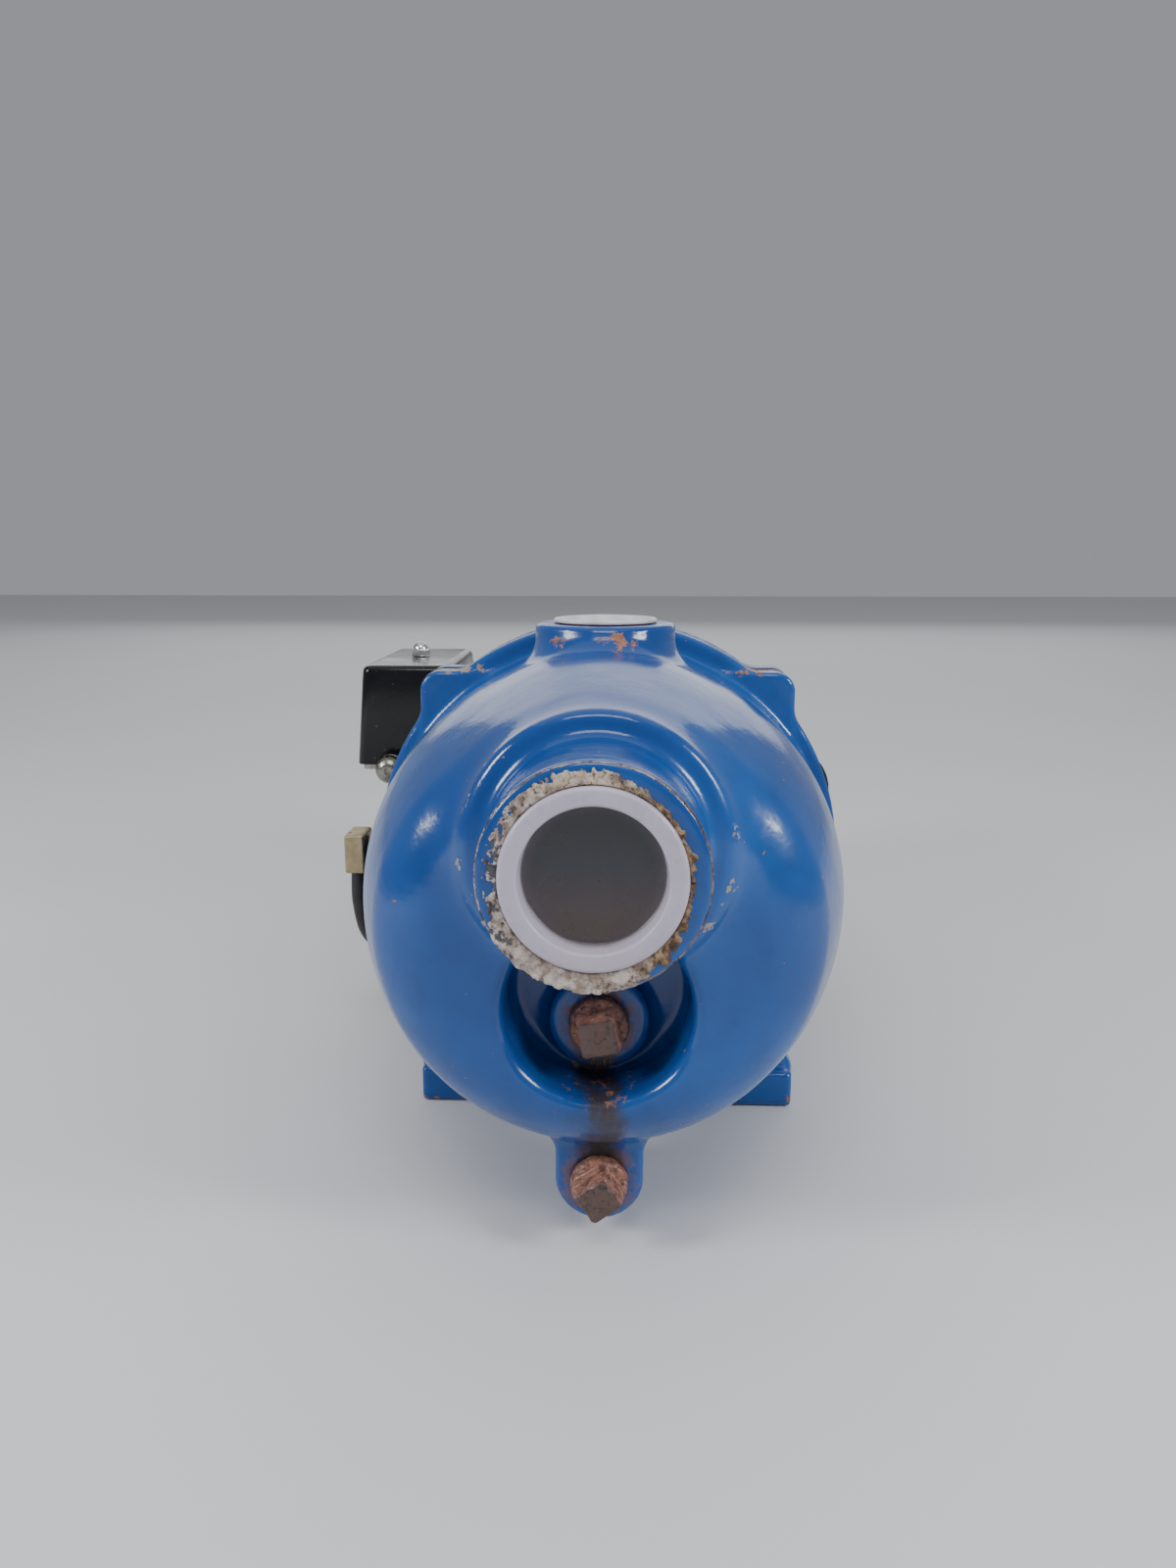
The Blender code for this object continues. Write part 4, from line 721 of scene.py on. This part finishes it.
class Surface:
    """One material. Its patterns lie on the object's own coordinates, in metres, so they ride with it."""

    def __init__(self, name, **fixed):
        self.material = bpy.data.materials.new(name)
        self.material.use_nodes = True
        self.tree = self.material.node_tree
        self.shader = self.tree.nodes["Principled BSDF"]
        for key, value in fixed.items():
            self.shader.inputs[key.replace("_", " ")].default_value = value
        self.where = self.add("ShaderNodeTexCoord").outputs["Object"]
        split = self.add("ShaderNodeSeparateXYZ")
        self.link(self.where, split.inputs[0])
        self.x, self.y, self.z = split.outputs

    def add(self, kind, **settings):
        node = self.tree.nodes.new(kind)
        for key, value in settings.items():
            setattr(node, key, value)
        return node

    def link(self, value, socket):
        if isinstance(value, bpy.types.NodeSocket):
            self.tree.links.new(value, socket)
        else:
            socket.default_value = value

    def noise(self, scale, detail=3.0, rough=0.5, stretch=None, shift=0.0):
        node = self.add("ShaderNodeTexNoise")
        vector = self.where
        if stretch or shift:
            mapping = self.add("ShaderNodeMapping")
            self.link(vector, mapping.inputs["Vector"])
            mapping.inputs["Scale"].default_value = stretch or (1, 1, 1)
            mapping.inputs["Location"].default_value = (shift, shift * 0.7, -shift)
            vector = mapping.outputs[0]
        self.link(vector, node.inputs["Vector"])
        for key, value in (("Scale", scale), ("Detail", detail), ("Roughness", rough)):
            node.inputs[key].default_value = value
        return node.outputs["Fac"]

    def span(self, value, low, high, start=0.0, end=1.0):
        """A smooth step from start at low to end at high."""
        node = self.add("ShaderNodeMapRange", interpolation_type="SMOOTHSTEP")
        self.link(value, node.inputs[0])
        for socket, number in zip(node.inputs[1:5], (low, high, start, end)):
            socket.default_value = number
        return node.outputs[0]

    def math(self, operation, a, b=0.0):
        node = self.add("ShaderNodeMath", operation=operation)
        self.link(a, node.inputs[0])
        self.link(b, node.inputs[1])
        return node.outputs[0]

    def times(self, *values):
        result = values[0]
        for value in values[1:]:
            result = self.math("MULTIPLY", result, value)
        return result

    def most(self, *values):
        result = values[0]
        for value in values[1:]:
            result = self.math("MAXIMUM", result, value)
        return result

    def mix(self, share, a, b):
        node = self.add("ShaderNodeMix", data_type="RGBA")
        self.link(share, node.inputs[0])
        self.link(a, node.inputs[6])
        self.link(b, node.inputs[7])
        return node.outputs[2]

    def near(self, point, inner, outer, stretch=(1, 1, 1)):
        """1 within inner of a point in drawing millimetres, falling to 0 at outer."""
        node = self.add("ShaderNodeVectorMath", operation="SUBTRACT")
        self.link(self.where, node.inputs[0])
        node.inputs[1].default_value = tuple(place([point])[0])
        scaled = self.add("ShaderNodeVectorMath", operation="MULTIPLY")
        self.link(node.outputs[0], scaled.inputs[0])
        scaled.inputs[1].default_value = stretch
        length = self.add("ShaderNodeVectorMath", operation="LENGTH")
        self.link(scaled.outputs[0], length.inputs[0])
        return self.span(length.outputs["Value"], inner / 1000, outer / 1000, 1.0, 0.0)

    def radius(self, x, z):
        """Distance from the line along Y through x, z in drawing millimetres."""
        first = self.math("SUBTRACT", self.x, x / 1000)
        second = self.math("SUBTRACT", self.z, z / 1000)
        total = self.math("ADD", self.times(first, first), self.times(second, second))
        return self.math("SQRT", total)

    def finish(self, colour, roughness, *bumps):
        """Links the colour and roughness, and stacks (height, distance in metres) bumps."""
        self.link(colour, self.shader.inputs["Base Color"])
        self.link(roughness, self.shader.inputs["Roughness"])
        normal = None
        for height, distance in bumps:
            node = self.add("ShaderNodeBump")
            self.link(height, node.inputs["Height"])
            node.inputs["Distance"].default_value = distance
            if normal:
                self.link(normal, node.inputs["Normal"])
            normal = node.outputs[0]
        if normal:
            self.link(normal, self.shader.inputs["Normal"])
        return self.material


def blue_paint():
    s = Surface("enamel_blue", Coat_Weight=0.25, Coat_Roughness=0.07, Specular_IOR_Level=0.4)
    broad = s.noise(14, 3)
    colour = s.mix(s.span(broad, 0.35, 0.65), rgb(14, 66, 134), rgb(20, 82, 154))
    colour = s.mix(s.span(s.noise(70, 5, 0.6), 0.45, 0.75, 0, 0.35), colour, rgb(16, 56, 110))
    ragged = s.noise(230, 8, 0.65, shift=0.3)
    finer = s.noise(600, 5, 0.6)
    # Paint lost to primer and rust
    boss_front = s.near((4, -57, 187), 1, 11, (1, 0.6, 1.6))
    boss_left = s.near((-15, -52, 186), 1, 7, (1, 0.6, 1.6))
    ear_left = s.near((-50, -6, 172), 3, 17, (0.8, 1, 3.4))
    ear_right = s.near((54, -6, 172), 3, 15, (0.8, 1, 3.2))
    foot_right = s.near((76, -6, 1), 1, 11, (0.8, 1, 1.3))
    foot_left = s.near((-72, -6, 0), 1, 7, (0.7, 1, 1.6))
    collar = s.math("MULTIPLY", s.span(s.radius(0, PORT_Z), 0.0368, 0.0382), s.span(s.y, -0.160, -0.1635))
    rim = s.times(s.span(s.radius(0, PORT_Z), 0.0288, 0.0296), s.span(s.y, -0.1955, -0.1972))
    places = s.most(boss_front, boss_left, ear_left, ear_right, foot_right, foot_left)
    lost = s.span(s.math("ADD", ragged, s.times(places, 0.27)), 0.70, 0.73)
    edges = s.most(s.times(collar, 0.12), s.times(rim, 0.13))
    worn = s.span(s.math("ADD", ragged, edges), 0.70, 0.73)
    specks = s.span(s.noise(330, 2, 0.4, shift=1.7), 0.765, 0.78)
    lost = s.most(lost, worn, specks)
    rust = s.mix(s.span(finer, 0.35, 0.6), rgb(112, 72, 58), rgb(160, 110, 86))
    rust = s.mix(s.most(ear_left, collar), rust, rgb(150, 142, 128))
    # Rust washed down from the plugs, and a dark trail between them
    sway = s.times(s.math("SUBTRACT", s.noise(55, 4, 0.6), 0.5), 0.016)
    across = s.math("ABSOLUTE", s.math("ADD", s.x, sway))
    trail = s.times(
        s.span(across, 0.0028, 0.0085, 1.0, 0.0), s.span(s.z, 0.012, 0.030), s.span(s.z, 0.074, 0.064),
        s.span(s.y, -0.085, -0.100),
    )
    trail = s.times(trail, s.span(s.noise(120, 5, 0.65, stretch=(1, 1, 0.3)), 0.30, 0.55, 0.45, 1.0))
    runs = s.times(
        s.span(across, 0.006, 0.013, 1.0, 0.0), s.span(s.noise(260, 6, 0.7, stretch=(1, 1, 0.25)), 0.55, 0.62),
        s.span(s.z, 0.050, 0.056), s.span(s.z, 0.068, 0.062), s.span(s.y, -0.12, -0.13),
    )
    halo_low = s.near((0, DRAIN_FACE, DRAIN_Z), 8.6, 15.5)
    halo_high = s.near((0, PLUG_FACE, PLUG_Z), 8.6, 14.5)
    halo = s.times(s.most(halo_low, halo_high), s.span(ragged, 0.35, 0.62))
    colour = s.mix(s.times(halo, 0.85), colour, s.mix(finer, rgb(92, 60, 46), rgb(150, 96, 60)))
    colour = s.mix(s.times(trail, 0.93), colour, s.mix(finer, rgb(30, 28, 24), rgb(74, 58, 46)))
    colour = s.mix(s.times(runs, 0.8), colour, rgb(150, 112, 84))
    colour = s.mix(lost, colour, rust)
    dull = s.most(lost, s.times(trail, 0.8), s.times(halo, 0.8))
    gloss = s.math("ADD", s.span(s.noise(45, 4), 0.3, 0.75, 0.13, 0.27), s.times(dull, 0.5))
    return s.finish(
        colour, gloss, (s.noise(36, 2), 0.0009), (s.noise(420, 2), 0.00007), (s.math("SUBTRACT", 1.0, lost), 0.00022),
        (s.times(dull, s.noise(900, 4, 0.7)), 0.0003),
    )


def limescale():
    s = Surface("limescale", Specular_IOR_Level=0.3)
    patch = s.noise(220, 6, 0.65)
    grain = s.noise(1100, 5, 0.7)
    colour = s.mix(s.span(patch, 0.36, 0.62), rgb(150, 132, 118), rgb(205, 194, 188))
    right = s.times(s.span(s.x, 0.006, 0.018), s.span(s.z, 0.104, 0.116))
    colour = s.mix(s.times(right, 0.9), colour, s.mix(s.span(patch, 0.4, 0.6), rgb(84, 60, 44), rgb(168, 138, 104)))
    top = s.span(s.z, 0.155, 0.162)
    colour = s.mix(s.times(top, 0.75), colour, s.mix(s.span(patch, 0.35, 0.6), rgb(112, 94, 78), rgb(200, 182, 160)))
    holes = s.span(s.noise(480, 6, 0.75, shift=0.9), 0.52, 0.60)
    low_left = s.times(s.span(s.x, 0.006, -0.004), s.span(s.z, 0.124, 0.113))
    dark = s.times(holes, s.math("SUBTRACT", 1.0, s.times(low_left, 0.7)))
    colour = s.mix(s.times(dark, 0.85), colour, s.mix(grain, rgb(48, 38, 34), rgb(92, 70, 52)))
    left = s.times(s.span(s.x, -0.016, -0.023), s.span(s.noise(300, 5, 0.65, shift=2.4), 0.50, 0.56))
    colour = s.mix(s.times(left, 0.85), colour, rgb(40, 44, 62))
    return s.finish(colour, s.span(grain, 0.3, 0.7, 0.7, 0.95), (patch, 0.0010), (grain, 0.0006))


def milky_plastic():
    s = Surface("milky_cap", Subsurface_Weight=0.25, Subsurface_Scale=0.004, IOR=1.5)
    s.shader.inputs["Subsurface Radius"].default_value = (1.0, 0.9, 1.0)
    away = s.radius(0, PORT_Z)
    cloud = s.noise(120, 4)
    ring = s.mix(cloud, rgb(166, 160, 178), rgb(188, 182, 198))
    ring = s.mix(s.times(s.span(s.z, 0.126, 0.112), 0.25), ring, rgb(170, 150, 146))
    scuff = s.span(s.noise(500, 6, 0.7, stretch=(1, 1, 0.2)), 0.60, 0.72)
    ring = s.mix(s.times(scuff, 0.35), ring, rgb(206, 202, 212))
    # Painted shade: the recess floor is the same milky plastic, painted dark grey for the shade inside the cap,
    # darkest at the top and lighter towards the wall
    floor = s.mix(s.span(s.z, 0.142, 0.120), rgb(52, 53, 60), rgb(78, 66, 64))
    floor = s.mix(s.span(cloud, 0.3, 0.8, 0.0, 0.25), floor, rgb(66, 64, 72))
    floor = s.mix(s.span(away, 0.0150, 0.0184, 0.0, 0.4), floor, rgb(96, 88, 94))
    colour = s.mix(s.span(away, 0.0182, 0.0187), floor, ring)
    return s.finish(colour, s.span(cloud, 0.3, 0.7, 0.24, 0.36), (s.noise(300, 3), 0.00006), (scuff, 0.00003))


def white_plastic():
    s = Surface("white_cap", Subsurface_Weight=0.15, Subsurface_Scale=0.003)
    cloud = s.noise(150, 4)
    colour = s.mix(s.span(cloud, 0.35, 0.7), rgb(206, 207, 210), rgb(186, 186, 190))
    grime = s.span(s.noise(420, 6, 0.7), 0.58, 0.72)
    colour = s.mix(s.times(grime, 0.4), colour, rgb(150, 142, 132))
    return s.finish(colour, s.span(cloud, 0.3, 0.7, 0.32, 0.48), (s.noise(400, 3), 0.00006))


def rusty_iron(name, face, seed):
    """Rusted iron, brighter on the collar and darker on the square's front."""
    s = Surface(name, Metallic=0.1, Specular_IOR_Level=0.6, Coat_Weight=0.35, Coat_Roughness=0.18)
    patch = s.noise(260, 6, 0.65, shift=seed)
    grain = s.noise(900, 6, 0.7, shift=seed)
    pits = s.span(s.noise(520, 4, 0.6, shift=seed + 2), 0.55, 0.68)
    colour = s.mix(s.span(patch, 0.36, 0.62), rgb(104, 64, 50), rgb(158, 106, 84))
    colour = s.mix(s.span(grain, 0.48, 0.62, 0, 0.6), colour, rgb(190, 146, 128))
    front = s.span(s.y, (JOINT_Y + face - 12.0) / 1000, (JOINT_Y + face - 12.9) / 1000)
    colour = s.mix(s.times(front, 0.95), colour, s.mix(patch, rgb(50, 36, 34), rgb(98, 72, 64)))
    colour = s.mix(s.times(pits, 0.75), colour, rgb(50, 34, 30))
    return s.finish(
        colour, s.span(patch, 0.3, 0.7, 0.42, 0.8), (patch, 0.0008), (grain, 0.0005), (pits, -0.0004)
    )


def black_paint():
    s = Surface("gloss_black", Coat_Weight=0.15, Coat_Roughness=0.08, Specular_IOR_Level=0.32)
    dust = s.span(s.noise(40, 5, 0.6), 0.45, 0.75)
    colour = s.mix(s.times(dust, 0.3), rgb(5, 6, 9), rgb(22, 24, 27))
    specks = s.span(s.noise(600, 2, 0.4, shift=0.6), 0.73, 0.76)
    colour = s.mix(s.times(specks, 0.6), colour, rgb(110, 108, 102))
    gloss = s.math("ADD", s.span(s.noise(60, 4), 0.3, 0.75, 0.16, 0.30), s.times(specks, 0.3))
    return s.finish(colour, gloss, (s.noise(30, 2), 0.0005), (s.noise(500, 2), 0.00005))


def plated(name, light, dark, low, high, corroded, spot_scale=420, amount=0.66):
    """A bare or plated metal with fine handling marks and spots of corrosion."""
    s = Surface(name, Metallic=1.0)
    cloud = s.noise(90, 5, 0.6)
    fine = s.noise(1400, 4, 0.6, stretch=(1, 1, 0.15))
    colour = s.mix(s.span(cloud, 0.35, 0.68), light, dark)
    spots = s.span(s.noise(spot_scale, 5, 0.65, shift=1.1), amount, amount + 0.06)
    colour = s.mix(s.times(spots, 0.8), colour, corroded)
    finish = s.math("ADD", s.span(cloud, 0.3, 0.7, low, high), s.times(spots, 0.35))
    s.link(s.span(spots, 0, 1, 1.0, 0.3), s.shader.inputs["Metallic"])
    return s.finish(colour, finish, (fine, 0.00004), (spots, 0.00008), (s.noise(220, 3), 0.00012))


def turned_steel():
    s = Surface("turned_steel", Metallic=1.0)
    rings = s.noise(2600, 2, 0.5, stretch=(0.02, 1, 0.02))
    cloud = s.noise(110, 4)
    colour = s.mix(s.span(cloud, 0.35, 0.7), rgb(196, 197, 200), rgb(160, 160, 162))
    return s.finish(colour, s.span(rings, 0.3, 0.7, 0.20, 0.34), (rings, 0.00005))


def laminations():
    s = Surface("laminations", Metallic=0.85)
    sheet = s.math("PINGPONG", s.y, 0.00035)
    cloud = s.noise(140, 5, 0.6)
    colour = s.mix(s.span(sheet, 0.0, 0.00012, 1.0, 0.0), rgb(126, 127, 132), rgb(52, 50, 50))
    colour = s.mix(s.span(cloud, 0.55, 0.75, 0, 0.6), colour, rgb(110, 74, 54))
    return s.finish(colour, s.span(cloud, 0.3, 0.7, 0.38, 0.6), (s.times(sheet, 1000.0), 0.0003))


def winding():
    s = Surface("enamelled_wire", Metallic=0.55, Coat_Weight=0.6, Coat_Roughness=0.15)
    away = s.math("ADD", s.radius(0, SHAFT_Z), s.times(s.noise(60, 3), 0.004))
    wires = s.math("PINGPONG", away, 0.0005)
    colour = s.mix(s.span(wires, 0.0, 0.0003), rgb(92, 44, 22), rgb(186, 98, 54))
    return s.finish(colour, s.span(s.noise(200, 3), 0.3, 0.7, 0.25, 0.42), (s.times(wires, 1500.0), 0.0004))


def moulded(name, light, dark, low=0.4, high=0.58, scale=700):
    """A moulded or pressed non-metal with a fine even grain."""
    s = Surface(name)
    cloud = s.noise(80, 4)
    grain = s.noise(scale, 4, 0.6)
    colour = s.mix(s.span(cloud, 0.35, 0.68), light, dark)
    colour = s.mix(s.span(grain, 0.5, 0.75, 0, 0.35), colour, light)
    return s.finish(colour, s.span(cloud, 0.3, 0.7, low, high), (grain, 0.00008), (cloud, 0.0002))


def cast_aluminium():
    s = Surface("cast_aluminium", Metallic=0.9)
    grain = s.noise(520, 6, 0.7)
    cloud = s.noise(60, 5, 0.6)
    colour = s.mix(s.span(cloud, 0.35, 0.7), rgb(176, 178, 182), rgb(138, 139, 142))
    bloom = s.span(s.noise(180, 6, 0.7, shift=0.4), 0.6, 0.75)
    colour = s.mix(s.times(bloom, 0.5), colour, rgb(196, 196, 190))
    return s.finish(colour, s.span(cloud, 0.3, 0.7, 0.42, 0.62), (grain, 0.00025), (cloud, 0.0004))


def floor_material():
    s = Surface("studio_floor")
    cloud = s.noise(2.5, 3)
    return s.finish(s.mix(cloud, rgb(205, 206, 207), rgb(212, 213, 214)), 0.8, (s.noise(120, 2), 0.0001))


def make_materials():
    zinc = (rgb(182, 180, 170), rgb(150, 148, 138), 0.30, 0.46, rgb(120, 96, 74))
    brass = (rgb(186, 172, 138), rgb(158, 142, 110), 0.42, 0.56, rgb(112, 96, 72))
    nickel = (rgb(214, 218, 214), rgb(188, 192, 190), 0.14, 0.28, rgb(120, 108, 92))
    old_nickel = (rgb(150, 150, 140), rgb(110, 108, 98), 0.2, 0.36, rgb(86, 70, 52))
    return {
        "blue_paint": blue_paint(),
        "black_paint": black_paint(),
        "cap_plastic": milky_plastic(),
        "white_plastic": white_plastic(),
        "rusty_iron": rusty_iron("rusty_iron", PLUG_FACE, 0.0),
        "gasket_fibre": moulded("gasket_fibre", rgb(58, 58, 56), rgb(38, 38, 38), 0.7, 0.85, 1200),
        "zinc_steel": plated("zinc_steel", *zinc),
        "shaft_steel": turned_steel(),
        "lamination": laminations(),
        "copper": winding(),
        "brass": plated("dull_brass", *brass, 260, 0.60),
        "nickel": plated("nickel", *nickel, 700, 0.68),
        "old_nickel": plated("old_nickel", *old_nickel, 500, 0.58),
        "moulded_black": moulded("moulded_black", rgb(30, 31, 33), rgb(20, 21, 22)),
        "moulded_tan": moulded("moulded_tan", rgb(186, 166, 124), rgb(160, 138, 98)),
        "rubber": moulded("rubber", rgb(26, 26, 27), rgb(17, 17, 18), 0.5, 0.72, 500),
        "ceramic": moulded("ceramic", rgb(226, 224, 216), rgb(210, 206, 196), 0.12, 0.22, 900),
        "bell_aluminium": cast_aluminium(),
        "phenolic": moulded("phenolic", rgb(66, 42, 28), rgb(46, 28, 20), 0.28, 0.42),
    }


def paint_everything():
    materials = make_materials()
    for part in frame["record"]["subparts"]:
        node = frame["nodes"][part["node"]]
        node.data.materials.clear()
        node.data.materials.append(materials[part["material_slot"]])
    own = {
        "gland_fine": materials["old_nickel"],
        "drain_plug_fine": rusty_iron("rusty_iron_low", DRAIN_FACE, 0.8),
        "port_deposit": limescale(),
    }
    for name, slot in SLOTS.items():
        mesh = bpy.data.objects[name].data
        mesh.materials.clear()
        mesh.materials.append(own.get(name) or materials[slot])


# Studio


def softbox(name, at, aim, width, height, power):
    light = bpy.data.lights.new(name, "AREA")
    light.shape, light.size, light.size_y = "RECTANGLE", width, height
    light.energy = power
    obj = bpy.data.objects.new(name, light)
    bpy.context.scene.collection.objects.link(obj)
    obj.location = at
    obj.rotation_euler = (Vector(aim) - Vector(at)).to_track_quat("-Z", "Y").to_euler()


def make_studio():
    mesh = bpy.data.meshes.new("floor")
    mesh.from_pydata([(-4, -4, 0), (4, -4, 0), (4, 4, 0), (-4, 4, 0)], [], [(0, 1, 2, 3)])
    mesh.materials.append(floor_material())
    floor = bpy.data.objects.new("floor", mesh)
    bpy.context.scene.collection.objects.link(floor)
    floor.location.z = -0.0004
    world = bpy.data.worlds.new("studio")
    bpy.context.scene.world = world
    world.use_nodes = True
    background = world.node_tree.nodes["Background"]
    background.inputs["Color"].default_value = (0.9, 0.93, 1.0, 1)
    background.inputs["Strength"].default_value = 0.34
    casing, middle = (0, -0.1, 0.11), (0, 0, 0.1)
    softbox("key_left", (-0.95, -0.5, 0.62), casing, 0.32, 0.32, 8)
    softbox("key_right", (0.95, -0.5, 0.62), casing, 0.32, 0.32, 8)
    softbox("front_high", (0, -1.1, 1.5), casing, 0.9, 0.5, 9)
    softbox("overhead", (0, 0.4, 2.2), middle, 3.0, 3.0, 15)
    softbox("fill_back", (0, 2.2, 1.1), middle, 2.6, 1.5, 13)
    camera = bpy.data.cameras.new("camera")
    camera.lens, camera.sensor_width, camera.sensor_fit = 27, 36, "AUTO"
    camera.clip_start = 0.01
    view = bpy.data.objects.new("camera", camera)
    bpy.context.scene.collection.objects.link(view)
    view.location = (0.0095, -0.478, 0.220)
    view.rotation_euler = (math.radians(78.1), 0, math.radians(2.2))
    bpy.context.scene.camera = view


make_castings()
make_deposit()
make_caps()
make_plugs()
make_bolts()
make_motor()
make_capacitor_cover()
make_switch()
make_line()
make_tube()
paint_everything()
make_studio()
bpy.context.view_layer.update()
